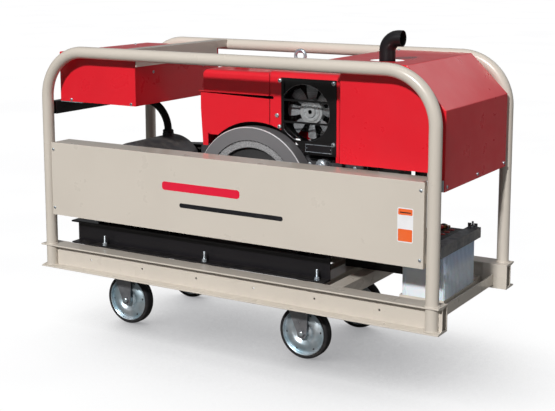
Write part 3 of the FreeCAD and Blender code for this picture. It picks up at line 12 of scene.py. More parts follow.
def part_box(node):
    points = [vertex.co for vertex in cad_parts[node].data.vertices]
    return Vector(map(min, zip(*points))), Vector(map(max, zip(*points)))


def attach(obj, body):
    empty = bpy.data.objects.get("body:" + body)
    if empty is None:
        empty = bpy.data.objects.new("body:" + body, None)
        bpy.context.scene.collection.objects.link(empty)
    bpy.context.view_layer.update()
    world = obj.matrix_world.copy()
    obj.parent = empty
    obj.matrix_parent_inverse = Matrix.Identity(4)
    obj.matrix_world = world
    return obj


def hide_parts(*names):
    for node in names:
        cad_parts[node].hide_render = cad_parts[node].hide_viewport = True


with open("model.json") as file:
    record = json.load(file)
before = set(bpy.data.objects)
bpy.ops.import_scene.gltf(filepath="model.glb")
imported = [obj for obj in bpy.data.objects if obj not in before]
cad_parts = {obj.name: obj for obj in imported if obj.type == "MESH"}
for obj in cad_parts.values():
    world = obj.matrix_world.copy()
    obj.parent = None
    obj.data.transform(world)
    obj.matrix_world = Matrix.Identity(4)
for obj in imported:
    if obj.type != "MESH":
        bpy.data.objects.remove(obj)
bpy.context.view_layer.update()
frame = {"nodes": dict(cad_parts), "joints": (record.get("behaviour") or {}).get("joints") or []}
random.seed(7)

JOINTS = {joint["name"]: joint for joint in frame["joints"]}
SIDES = ("near", "far")
CORNERS = [f"{end}_{side}" for end in ("rear", "front") for side in SIDES]
NEARWARD, FARWARD = (0, -1, 0), (0, 1, 0)


# ---------------------------------------------------------------- camera, light and floor

def make_camera():
    """A 36 mm wide sensor with a long lens, in front of the flywheel side and towards the battery end."""
    data = bpy.data.cameras.new("camera")
    data.sensor_width = 36.0
    data.lens = 75.0
    data.shift_y = -0.12
    data.clip_end = 200.0
    camera = bpy.data.objects.new("camera", data)
    yaw, pitch = math.radians(31.13), math.radians(-8.95)
    ahead = Vector((-math.sin(yaw) * math.cos(pitch), math.cos(yaw) * math.cos(pitch), math.sin(pitch)))
    camera.location = (2.4505, -4.000, 1.5504)
    camera.rotation_euler = ahead.to_track_quat("-Z", "Y").to_euler()
    bpy.context.scene.collection.objects.link(camera)
    bpy.context.scene.camera = camera


def add_light(name, kind, energy, location, target, **settings):
    data = bpy.data.lights.new(name, kind)
    data.energy = energy
    for key, value in settings.items():
        setattr(data, key, value)
    light = bpy.data.objects.new(name, data)
    light.location = location
    light.rotation_euler = (Vector(target) - Vector(location)).to_track_quat("-Z", "Y").to_euler()
    bpy.context.scene.collection.objects.link(light)
    return light


def add_area(name, energy, location, target, size, size_y):
    return add_light(name, "AREA", energy, location, target, shape="RECTANGLE", size=size, size_y=size_y)


def make_lights():
    """A soft sun from the camera's side, and broad dim lights above, beside and behind the machine."""
    add_light("key", "SUN", 3.2, (0.24, -4.0, 2.4), (0, 0, 0), angle=math.radians(3.5),
              color=(1.0, 0.99, 0.975))
    add_area("overhead", 12, (0.6, -0.8, 4.2), (0, 0, 0.6), 3.2, 1.6)
    add_area("right_fill", 6, (4.2, -0.8, 1.3), (0.6, 0, 0.6), 2.4, 1.6)
    add_area("back_fill", 14, (2.1, 4.0, 3.6), (0.4, 0, 0.9), 3.2, 1.6)
    for x in (-3.4, 1.2):
        rear = add_area("rear_fill", 38, (x, 3.8, 1.2), (0, 0, 0.7), 2.6, 1.8)
        rear.visible_glossy = False


def node(tree, kind, inputs=None, **settings):
    """A shader node with its settings, its values and its links."""
    item = tree.nodes.new(kind)
    for key, value in settings.items():
        setattr(item, key, value)
    for key, value in (inputs or {}).items():
        if isinstance(value, bpy.types.NodeSocket):
            tree.links.new(value, item.inputs[key])
        else:
            item.inputs[key].default_value = value
    return item


def make_world():
    """White behind the object, a soft grey all round, and a brighter wall low on the far side."""
    world = bpy.data.worlds.new("studio")
    bpy.context.scene.world = world
    world.use_nodes = True
    tree = world.node_tree
    tree.nodes.clear()
    place = node(tree, "ShaderNodeTexCoord").outputs["Generated"]
    parts = node(tree, "ShaderNodeSeparateXYZ", {0: place})
    far_side = node(tree, "ShaderNodeMapRange", {0: parts.outputs[1], 1: 0.35, 2: 0.85, 3: 0.0, 4: 1.0},
                    interpolation_type="SMOOTHSTEP").outputs[0]
    low_band = node(tree, "ShaderNodeMapRange", {0: parts.outputs[2], 1: 0.22, 2: 0.42, 3: 1.0, 4: 0.0},
                    interpolation_type="SMOOTHSTEP").outputs[0]
    wall = node(tree, "ShaderNodeMath", {0: far_side, 1: low_band}, operation="MULTIPLY").outputs[0]
    level = node(tree, "ShaderNodeMapRange", {0: wall, 3: 0.15, 4: 0.22}).outputs[0]
    glow = node(tree, "ShaderNodeBackground", {0: (0.95, 0.97, 1.0, 1), 1: level}).outputs[0]
    white = node(tree, "ShaderNodeBackground", {0: (1, 1, 1, 1), 1: 1.05}).outputs[0]
    seen = node(tree, "ShaderNodeLightPath").outputs["Is Camera Ray"]
    mix = node(tree, "ShaderNodeMixShader", {0: seen, 1: glow, 2: white}).outputs[0]
    node(tree, "ShaderNodeOutputWorld", {0: mix})


# ---------------------------------------------------------------- materials

def srgb(red, green, blue):
    """A linear colour from 0 to 255 screen values."""
    def channel(value):
        value /= 255
        return value / 12.92 if value <= 0.04045 else ((value + 0.055) / 1.055) ** 2.4
    return (channel(red), channel(green), channel(blue), 1.0)


class Finish:
    """A node material under construction around one Principled shader."""

    def __init__(self, name, **values):
        self.material = bpy.data.materials.new(name)
        self.material.use_nodes = True
        self.tree = self.material.node_tree
        self.shader = self.tree.nodes["Principled BSDF"]
        self.place = self.add("ShaderNodeTexCoord").outputs["Object"]
        self.height = None
        self.set(**values)

    def add(self, kind, inputs=None, **settings):
        return node(self.tree, kind, inputs, **settings)

    def set(self, **values):
        for key, value in values.items():
            socket = self.shader.inputs[key.replace("_", " ")]
            if isinstance(value, bpy.types.NodeSocket):
                self.tree.links.new(value, socket)
            else:
                socket.default_value = value

    def noise(self, scale, detail=3.0, rough=0.55, place=None):
        item = self.add("ShaderNodeTexNoise", {"Vector": place or self.place, "Scale": scale,
                                               "Detail": detail, "Roughness": rough})
        return item.outputs["Fac"]

    def cells(self, scale, feature="F1", output="Distance"):
        item = self.add("ShaderNodeTexVoronoi", {"Vector": self.place, "Scale": scale}, feature=feature)
        return item.outputs[output]

    def ramp(self, value, low, high, start=0.0, end=1.0):
        return self.add("ShaderNodeMapRange", {0: value, 1: low, 2: high, 3: start, 4: end},
                        interpolation_type="SMOOTHSTEP").outputs[0]

    def times(self, first, second):
        return self.add("ShaderNodeMath", {0: first, 1: second}, operation="MULTIPLY").outputs[0]

    def mix(self, amount, first, second):
        item = self.add("ShaderNodeMix", {0: amount, 6: first, 7: second}, data_type="RGBA")
        return item.outputs[2]

    def axis(self, letter):
        return self.add("ShaderNodeSeparateXYZ", {0: self.place}).outputs["XYZ".index(letter)]

    def facing_up(self):
        normal = self.add("ShaderNodeNewGeometry").outputs["Normal"]
        return self.ramp(self.add("ShaderNodeSeparateXYZ", {0: normal}).outputs[2], 0.55, 0.95)

    def edges(self, radius):
        """1 along sharp edges, 0 on flat and gently curved surfaces."""
        soft = self.add("ShaderNodeBevel", {"Radius": radius}, samples=4).outputs[0]
        normal = self.add("ShaderNodeNewGeometry").outputs["Normal"]
        same = self.add("ShaderNodeVectorMath", {0: soft, 1: normal}, operation="DOT_PRODUCT")
        return self.ramp(same.outputs["Value"], 0.998, 0.93)

    def bump(self, height, strength, distance):
        inputs = {"Height": height, "Strength": strength, "Distance": distance}
        if self.height is not None:
            inputs["Normal"] = self.height
        self.height = self.add("ShaderNodeBump", inputs).outputs[0]
        self.set(Normal=self.height)

    def from_axis(self, centre, axis):
        """Distance from an axis through a point."""
        offset = self.add("ShaderNodeVectorMath", {0: self.place, 1: centre}, operation="SUBTRACT").outputs[0]
        flat = [0.0 if letter == axis else 1.0 for letter in "XYZ"]
        across = self.add("ShaderNodeVectorMath", {0: offset, 1: flat}, operation="MULTIPLY").outputs[0]
        return self.add("ShaderNodeVectorMath", {0: across}, operation="LENGTH").outputs["Value"]


def paint(name, colour, deep, worn_and_lit_edge, roughness=0.3, coat=0.35, specular=0.5, dust=0.12, low_dirt=0.0):
    """Sprayed enamel: slow drift in tone, orange peel, pale dust on top faces, and edges made paler partly as
    wear and partly as a painted highlight along the folds.
    """
    finish = Finish(name, Coat_Weight=coat, Coat_Roughness=0.12, Specular_IOR_Level=specular)
    drift = finish.ramp(finish.noise(2.2, 4.0), 0.3, 0.75)
    tone = finish.mix(drift, colour, deep)
    grain = finish.ramp(finish.noise(420.0, 2.0), 0.35, 0.65)
    tone = finish.mix(finish.times(grain, 0.10), tone, deep)
    if dust:
        film = finish.times(finish.facing_up(), finish.ramp(finish.noise(26.0, 8.0, 0.7), 0.35, 0.8))
        tone = finish.mix(finish.times(film, dust), tone, srgb(190, 180, 165))
    if low_dirt:
        low = finish.ramp(finish.axis("Z"), 0.40, 0.18)
        grime = finish.times(low, finish.ramp(finish.noise(14.0, 9.0, 0.7), 0.48, 0.75))
        tone = finish.mix(finish.times(grime, low_dirt), tone, srgb(96, 84, 70))
    # Edges go towards a paler colour in noisy patches: partly wear chips, partly a painted highlight standing
    # for bright fold lines.
    edge_wear_and_highlight = finish.times(finish.edges(0.0011), finish.ramp(finish.noise(34.0, 6.0, 0.75), 0.42, 0.62))
    tone = finish.mix(finish.times(edge_wear_and_highlight, 0.55), tone, worn_and_lit_edge)
    smooth = finish.ramp(finish.noise(9.0, 6.0), 0.2, 0.8, roughness - 0.05, roughness + 0.08)
    finish.set(Base_Color=tone, Roughness=smooth)
    finish.bump(finish.noise(230.0, 2.0), 0.10, 0.0006)
    finish.bump(finish.noise(5.0, 2.0), 0.10, 0.004)
    return finish.material


def plated(name, colour, tint, roughness=0.3, spangle=90.0, dirt=0.25, metallic=1.0):
    """Zinc plating: faint crystals, a bluish or yellowish cast, and dull handling marks."""
    finish = Finish(name, Metallic=metallic)
    cast = finish.ramp(finish.noise(12.0, 5.0), 0.35, 0.7)
    tone = finish.mix(cast, colour, tint)
    crystal = finish.cells(spangle, output="Color")
    level = finish.add("ShaderNodeRGBToBW", {0: crystal}).outputs[0]
    tone = finish.mix(finish.times(level, 0.16), tone, srgb(150, 156, 160))
    spots = finish.ramp(finish.noise(60.0, 8.0, 0.7), 0.56, 0.72)
    tone = finish.mix(finish.times(spots, dirt), tone, srgb(84, 82, 78))
    rough = finish.ramp(finish.noise(40.0, 7.0), 0.3, 0.7, roughness - 0.09, roughness + 0.14)
    finish.set(Base_Color=tone, Roughness=rough)
    finish.bump(finish.noise(700.0, 2.0), 0.12, 0.0002)
    return finish.material


def plastic(name, colour, worn, roughness=0.42, grain=900.0, depth=0.18):
    """Moulded plastic: a fine leather grain and paler rubbed edges."""
    finish = Finish(name, Specular_IOR_Level=0.45)
    tone = finish.mix(finish.ramp(finish.noise(18.0, 5.0), 0.4, 0.8, 0.0, 0.35), colour, worn)
    tone = finish.mix(finish.times(finish.edges(0.0008), 0.5), tone, worn)
    finish.set(Base_Color=tone)
    finish.set(Roughness=finish.ramp(finish.noise(30.0, 4.0), 0.3, 0.7, roughness - 0.06, roughness + 0.1))
    finish.bump(finish.cells(grain), depth, 0.0003)
    return finish.material


def rubber(name, colour, dust_colour, dust=0.3, axis_z=None):
    """Rubber: matt, slightly mottled, with dust that gathers low down."""
    finish = Finish(name, Specular_IOR_Level=0.3)
    tone = finish.mix(finish.ramp(finish.noise(35.0, 6.0), 0.35, 0.75, 0.0, 0.5), colour, srgb(44, 43, 44))
    film = finish.ramp(finish.noise(22.0, 9.0, 0.75), 0.45, 0.75)
    if axis_z is not None:
        film = finish.times(film, finish.ramp(finish.axis("Z"), axis_z, 0.0))
    tone = finish.mix(finish.times(film, dust), tone, dust_colour)
    finish.set(Base_Color=tone, Roughness=finish.ramp(finish.noise(60.0, 4.0), 0.3, 0.7, 0.55, 0.8))
    finish.bump(finish.noise(500.0, 4.0), 0.25, 0.0004)
    return finish.material


def casting(name, colour, high, roughness=0.5, size=160.0, depth=0.5, metallic=0.0):
    """Sand-cast iron under paint: a pebbled skin with oil stains in the hollows."""
    finish = Finish(name, Specular_IOR_Level=0.5, Metallic=metallic)
    skin = finish.noise(size, 8.0, 0.65)
    tone = finish.mix(finish.ramp(skin, 0.35, 0.7), colour, high)
    oil = finish.ramp(finish.noise(11.0, 6.0), 0.55, 0.75)
    tone = finish.mix(finish.times(oil, 0.6), tone, srgb(20, 19, 20))
    finish.set(Base_Color=tone, Roughness=finish.ramp(oil, 0.0, 1.0, roughness + 0.1, roughness - 0.18))
    finish.bump(skin, depth, 0.0010)
    finish.bump(finish.noise(28.0, 4.0), 0.25, 0.003)
    return finish.material


def turned_metal(name, colour, centre, axis, roughness=0.3, pitch=900.0, metallic=1.0, strength=0.2):
    """Metal with fine concentric tool marks round an axis."""
    finish = Finish(name, Metallic=metallic)
    radius = finish.from_axis(centre, axis)
    rings = finish.add("ShaderNodeTexNoise", {"W": finish.times(radius, pitch), "Scale": 1.0,
                                               "Detail": 3.0}, noise_dimensions="1D").outputs[0]
    mark = finish.ramp(finish.noise(45.0, 7.0, 0.7), 0.4, 0.75)
    tone = finish.mix(finish.times(rings, 0.35), colour, srgb(70, 72, 76))
    tone = finish.mix(finish.times(mark, 0.25), tone, srgb(60, 58, 56))
    finish.set(Base_Color=tone, Roughness=finish.ramp(rings, 0.2, 0.8, roughness - 0.08, roughness + 0.12))
    finish.bump(rings, strength, 0.0004)
    return finish.material


def battery_plastic():
    """Translucent polypropylene: whiter low down, with a faint acid line above which the case is painted
    darker and bluer as shade, and scuffs.
    """
    finish = Finish("battery_case_looks", Specular_IOR_Level=0.5, Subsurface_Weight=0.25,
                    Subsurface_Scale=0.02)
    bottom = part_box("battery")[0].z
    # Painted shade: above the acid line the case turns darker and bluer, standing for shade over its upper
    # part.
    level = finish.ramp(finish.axis("Z"), bottom + 0.10, bottom + 0.15)
    tone = finish.mix(level, srgb(236, 242, 250), srgb(206, 220, 240))
    scuffs = finish.ramp(finish.noise(30.0, 7.0, 0.7), 0.5, 0.8, 0.0, 0.3)
    tone = finish.mix(scuffs, tone, srgb(150, 156, 166))
    finish.set(Base_Color=tone, Roughness=finish.ramp(finish.noise(50.0, 5.0), 0.3, 0.7, 0.28, 0.42))
    finish.bump(finish.noise(300.0, 3.0), 0.08, 0.0003)
    return finish.material


def finned_core():
    """Radiator core: thin bright fins between gaps painted dark as shade, with bent and dusty places."""
    finish = Finish("radiator_core_looks", Metallic=0.7)
    bends = {"Vector": finish.place, "Scale": 95.0, "Distortion": 1.5, "Detail": 2.0, "Detail Scale": 3.0}
    wave = finish.add("ShaderNodeTexWave", bends, bands_direction="Z").outputs[1]
    straight = {"Vector": finish.place, "Scale": 18.0}
    tubes = finish.add("ShaderNodeTexWave", straight, bands_direction="X").outputs[1]
    # Painted shade: the dark band of the wave stands for the shaded gaps between the fins.
    fins = finish.mix(wave, srgb(26, 27, 28), srgb(120, 122, 124))
    tone = finish.mix(finish.ramp(tubes, 0.75, 0.9), fins, srgb(60, 60, 60))
    tone = finish.mix(finish.ramp(finish.noise(20.0, 8.0), 0.5, 0.8, 0.0, 0.5), tone, srgb(92, 84, 72))
    finish.set(Base_Color=tone, Roughness=finish.ramp(wave, 0.0, 1.0, 0.7, 0.4))
    finish.bump(wave, 0.8, 0.002)
    return finish.material


def floor_finish():
    """Pale glowing paper with a barely visible mottle, and a painted shadow: the glow is darkened where
    ambient occlusion, tilted to one side, finds the machine.
    """
    finish = Finish("floor_looks", Specular_IOR_Level=0.0, Emission_Strength=1.0, Base_Color=(0, 0, 0, 1))
    mottle = finish.ramp(finish.noise(0.7, 3.0), 0.3, 0.7)
    paper = finish.mix(mottle, (1.02, 1.02, 1.02, 1), (0.985, 0.985, 0.99, 1))
    # Painted shadow: occlusion is looked for along a tilted normal, so the painted shade falls out to one
    # side like a cast shadow.
    shadow_tilt = finish.add("ShaderNodeCombineXYZ", {0: -0.50, 1: 0.22, 2: 0.84}).outputs[0]
    painted_shade_occlusion = finish.add("ShaderNodeAmbientOcclusion", {"Distance": 1.1, "Normal": shadow_tilt}, samples=16)
    # The painted shade darkens the floor's glow towards grey.
    tone = finish.mix(finish.ramp(painted_shade_occlusion.outputs["AO"], 0.05, 0.90), (0.28, 0.28, 0.29, 1), paper)
    finish.set(Emission_Color=tone, Roughness=finish.ramp(finish.noise(3.0, 3.0), 0.3, 0.7, 0.85, 0.95))
    dim = finish.add("ShaderNodeBsdfDiffuse", {"Color": srgb(120, 119, 117)}).outputs[0]
    seen = finish.add("ShaderNodeLightPath").outputs["Is Camera Ray"]
    both = finish.add("ShaderNodeMixShader", {0: seen, 1: dim, 2: finish.shader.outputs[0]}).outputs[0]
    finish.tree.links.new(both, finish.tree.nodes["Material Output"].inputs["Surface"])
    return finish.material


# ---------------------------------------------------------------- mesh building

def turn_to(axis):
    """A rotation that carries +Z to an axis."""
    return Vector(axis).to_track_quat("Z", "Y").to_matrix().to_4x4()


def at(x, y, z, axis=(0, 0, 1)):
    """A place whose +Z points along an axis."""
    return Matrix.Translation((x, y, z)) @ turn_to(axis)


def turns(count, share=0.0):
    """Angles spaced evenly round a circle, with the first one moved on by a share of a step."""
    return [math.tau * (step + share) / count for step in range(count)]


def on_circle(centre, radius, turn, axis="Y"):
    """The point at an angle on a circle that lies round an axis."""
    x, y, z = centre
    across, rise = radius * math.cos(turn), radius * math.sin(turn)
    if axis == "X":
        return (x, y + across, z + rise)
    return (x + across, y, z + rise) if axis == "Y" else (x + across, y + rise, z)


def closed_ring(centre, radius, axis, count):
    """Points round a whole circle, with the first one repeated at the end."""
    return [on_circle(centre, radius, math.tau * step / count, axis) for step in range(count + 1)]


def round_edges(mesh, edges, radius, steps, **settings):
    bmesh.ops.bevel(mesh, geom=edges, offset=radius, segments=steps, profile=0.5, affect="EDGES", **settings)


class Shape:
    """A mesh under construction. Each part is added in its own place with a finish number."""

    def __init__(self):
        self.mesh = bmesh.new()

    def take(self, part, matrix=None, finish=0):
        """Add a finished bmesh and free it."""
        if matrix is not None:
            bmesh.ops.transform(part, matrix=matrix, verts=part.verts)
        for face in part.faces:
            face.material_index = finish
        data = bpy.data.meshes.new("part")
        part.to_mesh(data)
        part.free()
        self.mesh.from_mesh(data)
        bpy.data.meshes.remove(data)
        return self

    def lathe(self, profile, matrix, finish=0, steps=48, closed=False):
        """A profile of (radius, height) points turned round +Z."""
        part = bmesh.new()
        points = [part.verts.new((radius, 0, height)) for radius, height in profile]
        links = [part.edges.new(pair) for pair in zip(points, points[1:])]
        if closed:
            links.append(part.edges.new((points[-1], points[0])))
        bmesh.ops.spin(part, geom=points + links, cent=(0, 0, 0), axis=(0, 0, 1), angle=math.tau,
                       steps=steps, use_merge=True)
        bmesh.ops.remove_doubles(part, verts=part.verts, dist=1e-6)
        bmesh.ops.recalc_face_normals(part, faces=part.faces)
        return self.take(part, matrix, finish)

    def prism(self, outline, depth, matrix, finish=0, edge=0.0, steps=2):
        """An outline in XY thickened along +Z, with its edges rounded."""
        part = bmesh.new()
        face = part.faces.new([part.verts.new((x, y, 0)) for x, y in outline])
        grown = bmesh.ops.extrude_face_region(part, geom=[face])["geom"]
        top = [item for item in grown if isinstance(item, bmesh.types.BMVert)]
        bmesh.ops.translate(part, vec=(0, 0, depth), verts=top)
        bmesh.ops.recalc_face_normals(part, faces=part.faces)
        if edge:
            round_edges(part, part.edges[:], edge, steps)
        return self.take(part, matrix, finish)

    def block(self, low, high, finish=0, edge=0.0, steps=2, matrix=None):
        """A box between two corners, with its edges rounded."""
        part = bmesh.new()
        bmesh.ops.create_cube(part, size=1.0)
        low, high = Vector(low), Vector(high)
        size = high - low
        fit = Matrix.Translation((low + high) / 2) @ Matrix.Diagonal((size.x, size.y, size.z, 1))
        bmesh.ops.transform(part, matrix=fit, verts=part.verts)
        if edge:
            round_edges(part, part.edges[:], edge, steps)
        return self.take(part, matrix, finish)

    def tube(self, path, radius, finish=0, sides=24, inner=None):
        """A round bar along a line of points, or a pipe when it has an inner radius."""
        part = bmesh.new()
        points = [Vector(point) for point in path]
        frames = []
        up = None
        for index, point in enumerate(points):
            ahead = (points[min(index + 1, len(points) - 1)] - points[max(index - 1, 0)]).normalized()
            if up is None:
                up = ahead.orthogonal().normalized()
            up = (up - ahead * up.dot(ahead)).normalized()
            frames.append((point, up, ahead.cross(up)))

        def ring(index, size):
            point, first, second = frames[index]
            width = size(index) if callable(size) else size
            return [part.verts.new(point + (first * math.cos(turn) + second * math.sin(turn)) * width)
                    for turn in (math.tau * step / sides for step in range(sides))]

        def skin(rings):
            for one, two in zip(rings, rings[1:]):
                for step in range(sides):
                    following = (step + 1) % sides
                    part.faces.new((one[step], one[following], two[following], two[step]))

        outer = [ring(index, radius) for index in range(len(points))]
        skin(outer)
        if inner is None:
            part.faces.new(outer[0][::-1])
            part.faces.new(outer[-1])
        else:
            bore = [ring(index, inner) for index in range(len(points))]
            skin(bore)
            skin([outer[0], bore[0]])
            skin([outer[-1], bore[-1]])
        bmesh.ops.recalc_face_normals(part, faces=part.faces)
        return self.take(part, None, finish)

    def screw(self, x, y, z, axis, size=0.0065, finish=0):
        """A pan-head screw with a washer flange and a cross recess."""
        dome = ((0, 0.62), (0.5, 0.58), (0.82, 0.42), (0.98, 0.16), (1.0, 0.0))
        head = [(size * radius, size * height) for radius, height in dome]
        self.lathe(head, at(x, y, z, axis), finish, 24)
        for turn in (0.4, 0.4 + math.pi / 2):
            bar = Matrix.Rotation(turn, 4, "Z")
            self.block((-size * 0.5, -size * 0.1, size * 0.56), (size * 0.5, size * 0.1, size * 0.66), 1,
                       matrix=at(x, y, z, axis) @ bar)
        return self

    def hexagon(self, x, y, z, axis, across, height, finish=0, bolt=0.0, reach=0.0):
        """A chamfered hexagon head or nut, with the end of its bolt where it has one."""
        outline = [(across * math.cos(turn), across * math.sin(turn)) for turn in turns(6)]
        self.prism(outline, height, at(x, y, z, axis), finish, across * 0.10, 2)
        if bolt:
            thread = [(0, 0), (bolt, 0)]
            crests = max(2, int(reach / 0.0015))
            for step in range(1, crests):
                thread.append((bolt * (0.9 if step % 2 else 1.0), reach * step / crests))
            thread += [(bolt * 0.8, reach), (0, reach)]
            self.lathe(thread, at(x, y, z, axis) @ Matrix.Translation((0, 0, height * 0.9)), finish, 16)
        return self

    def bead(self, ring, lump=0.0022, finish=0, seed=1):
        """A weld bead: overlapping ripples along a line of points."""
        rng = random.Random(seed)
        sizes = [lump * (0.85 + 0.3 * rng.random() + 0.18 * math.sin(step * 1.9))
                 for step in range(len(ring))]
        return self.tube(ring, lambda index: sizes[index], finish, 10)

    def piece(self, name, body, finishes, replaces=(), angle=35.0, weighted=False):
        """Make the object, let it ride on its body and hide the CAD nodes it stands for."""
        data = bpy.data.meshes.new(name)
        self.mesh.to_mesh(data)
        self.mesh.free()
        for finish in finishes:
            data.materials.append(finish)
        for polygon in data.polygons:
            polygon.use_smooth = True
        data.set_sharp_from_angle(angle=math.radians(angle))
        obj = bpy.data.objects.new(name, data)
        bpy.context.scene.collection.objects.link(obj)
        if weighted:
            obj.modifiers.new("normals", "WEIGHTED_NORMAL").keep_sharp = True
        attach(obj, body)
        if replaces:
            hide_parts(*replaces)


def bent_path(corners, radius, steps=12):
    """Straight runs through corners with a round bend at each inner one."""
    points = [Vector(corner) for corner in corners]
    path = [points[0]]
    for before, corner, after in zip(points, points[1:], points[2:]):
        back = (before - corner).normalized()
        ahead = (after - corner).normalized()
        half = back.angle(ahead) / 2
        reach = radius / math.tan(half)
        middle = corner + (back + ahead).normalized() * (radius / math.sin(half))
        start, stop = corner + back * reach - middle, corner + ahead * reach - middle
        turn = start.angle(stop)
        for step in range(steps + 1):
            share = step / steps
            point = (start * math.sin((1 - share) * turn) + stop * math.sin(share * turn)) / math.sin(turn)
            path.append(middle + point)
    path.append(points[-1])
    return path


def soft_copy(name, node_name, body, finish, radius, steps=4, shortest=0.09, narrowest=0.005):
    """The CAD node's shape with its long outer folds rounded, where the faces beside them are wide enough."""
    mesh = bmesh.new()
    mesh.from_mesh(frame["nodes"][node_name].data)
    bmesh.ops.remove_doubles(mesh, verts=mesh.verts, dist=2e-5)
    bmesh.ops.dissolve_limit(mesh, angle_limit=math.radians(0.6), verts=mesh.verts, edges=mesh.edges)
    folds = []
    for edge in mesh.edges:
        if len(edge.link_faces) != 2 or edge.calc_length() < shortest or not edge.is_convex:
            continue
        if edge.calc_face_angle() < math.radians(20):
            continue
        if 2 * min(face.calc_area() / face.calc_perimeter() for face in edge.link_faces) < narrowest:
            continue
        folds.append(edge)
    if folds:
        round_edges(mesh, folds, radius, steps, clamp_overlap=False)
    shape = Shape()
    shape.take(mesh)
    shape.piece(name, body, [finish], [node_name], angle=30.0, weighted=True)


# ---------------------------------------------------------------- finishes used on the machine

IVORY = paint("ivory_looks", srgb(210, 202, 191), srgb(204, 196, 185), srgb(226, 221, 212), 0.30, 0.45, 0.5,
              dust=0.08, low_dirt=0.10)
RED = paint("red_looks", srgb(226, 30, 45), srgb(218, 27, 42), srgb(238, 96, 92), 0.30, 0.30, 0.45, dust=0.04)
BLACK = paint("black_looks", srgb(23, 21, 25), srgb(18, 17, 20), srgb(78, 76, 78), 0.36, 0.15, 0.4, dust=0.06,
              low_dirt=0.15)
SCREEN = paint("screen_looks", srgb(13, 12, 14), srgb(9, 9, 10), srgb(60, 58, 60), 0.30, 0.25, 0.45, dust=0.0)
PANEL = paint("panel_looks", srgb(190, 186, 176), srgb(180, 176, 167), srgb(215, 212, 205), 0.42, 0.1, 0.4)
ZINC = plated("zinc_looks", srgb(206, 212, 216), srgb(184, 196, 208), metallic=0.7)
BRIGHT = plated("bright_zinc_looks", srgb(214, 222, 226), srgb(172, 194, 202), 0.2, 60.0, 0.12, 0.7)
STEEL = plated("grey_steel_looks", srgb(140, 140, 142), srgb(118, 120, 126), 0.42, 140.0, 0.35)
FORK = plated("fork_looks", srgb(160, 160, 164), srgb(134, 136, 142), 0.36, 120.0, 0.3, 0.8)
DARK_METAL = plated("dark_metal_looks", srgb(86, 86, 90), srgb(70, 70, 76), 0.4, 120.0, 0.4)
BRASS = plated("brass_looks", srgb(196, 160, 92), srgb(176, 134, 70), 0.3, 200.0, 0.3)
PLASTIC = plastic("black_plastic_looks", srgb(24, 24, 25), srgb(58, 58, 60))
WHITE_PLASTIC = plastic("white_plastic_looks", srgb(226, 224, 216), srgb(200, 198, 190), 0.35)
RED_PLASTIC = plastic("red_plastic_looks", srgb(190, 26, 26), srgb(214, 70, 60), 0.35)
ORANGE_VINYL = plastic("orange_vinyl_looks", srgb(238, 104, 44), srgb(226, 128, 84), 0.4, 1500.0, 0.05)
WHITE_VINYL = plastic("white_vinyl_looks", srgb(236, 236, 238), srgb(206, 208, 214), 0.35, 1500.0, 0.05)
RED_VINYL = plastic("red_vinyl_looks", srgb(226, 28, 60), srgb(206, 40, 60), 0.35, 1500.0, 0.05)
BLACK_VINYL = plastic("black_vinyl_looks", srgb(24, 24, 28), srgb(60, 60, 64), 0.35, 1500.0, 0.05)
TYRE = rubber("tyre_looks", srgb(33, 32, 35), srgb(120, 112, 100), 0.35, axis_z=0.16)
WHEEL = plated("wheel_looks", srgb(206, 214, 220), srgb(168, 190, 200), 0.38, 60.0, 0.15, 0.8)
CABLE = rubber("cable_looks", srgb(22, 22, 23), srgb(90, 86, 80), 0.15)
BELT = rubber("belt_looks", srgb(30, 29, 29), srgb(84, 80, 74), 0.4)
CASTING = casting("engine_casting_looks", srgb(44, 44, 47), srgb(62, 62, 66))
BARREL = paint("generator_looks", srgb(62, 61, 64), srgb(54, 53, 57), srgb(110, 108, 110), 0.42, 0.1, 0.4,
               dust=0.2)
CORE = finned_core()
CASE = battery_plastic()

CAD_FINISHES = {
    "rail_near": IVORY, "rail_far": IVORY, "hoop_near": IVORY, "hoop_far": IVORY, "guard_panel": IVORY,
    "cross_members": IVORY, "frame_lugs": IVORY, "top_channel": IVORY,
    "support_channel": BLACK, "fasteners": ZINC, "control_cover": RED, "control_tray": BLACK,
    "control_panel": PANEL, "panel_instruments": PLASTIC, "outlet_sockets": PLASTIC,
    "output_terminals": BRASS,
    "current_dial": PLASTIC, "start_key": ZINC, "breaker_lever": PLASTIC, "rectifier_stack": STEEL,
    "end_cover": RED, "bed_channels": BLACK, "battery_tray": IVORY, "battery": CASE, "battery_leads": CABLE,
    "battery_clamp": STEEL, "engine_block": CASTING, "cylinder_head": CASTING, "muffler": BLACK,
    "exhaust_stack": BLACK, "air_cleaner": BLACK, "fuel_tank": RED, "fuel_cap": PLASTIC, "side_panels": RED,
    "radiator_hood": RED, "fan_screen": SCREEN, "radiator": CORE, "cooling_fan": BRIGHT, "flywheel": CASTING,
    "throttle_lever": ZINC, "lifting_eye": ZINC, "generator": BARREL, "generator_rotor": CASTING,
    "drive_belts": BELT, "belt_guard": BLACK, "conduit": CABLE, "caster_plates": STEEL,
}
for corner in CORNERS:
    CAD_FINISHES.update({f"fork_{corner}": FORK, f"wheel_{corner}": WHEEL, f"tyre_{corner}": TYRE})


def finish_cad():
    """Every CAD node that stays in view gets its detailed finish."""
    for name, obj in frame["nodes"].items():
        if not obj.material_slots:
            obj.data.materials.append(CAD_FINISHES[name])
        for slot in obj.material_slots:
            slot.material = CAD_FINISHES[name]


# ---------------------------------------------------------------- the frame

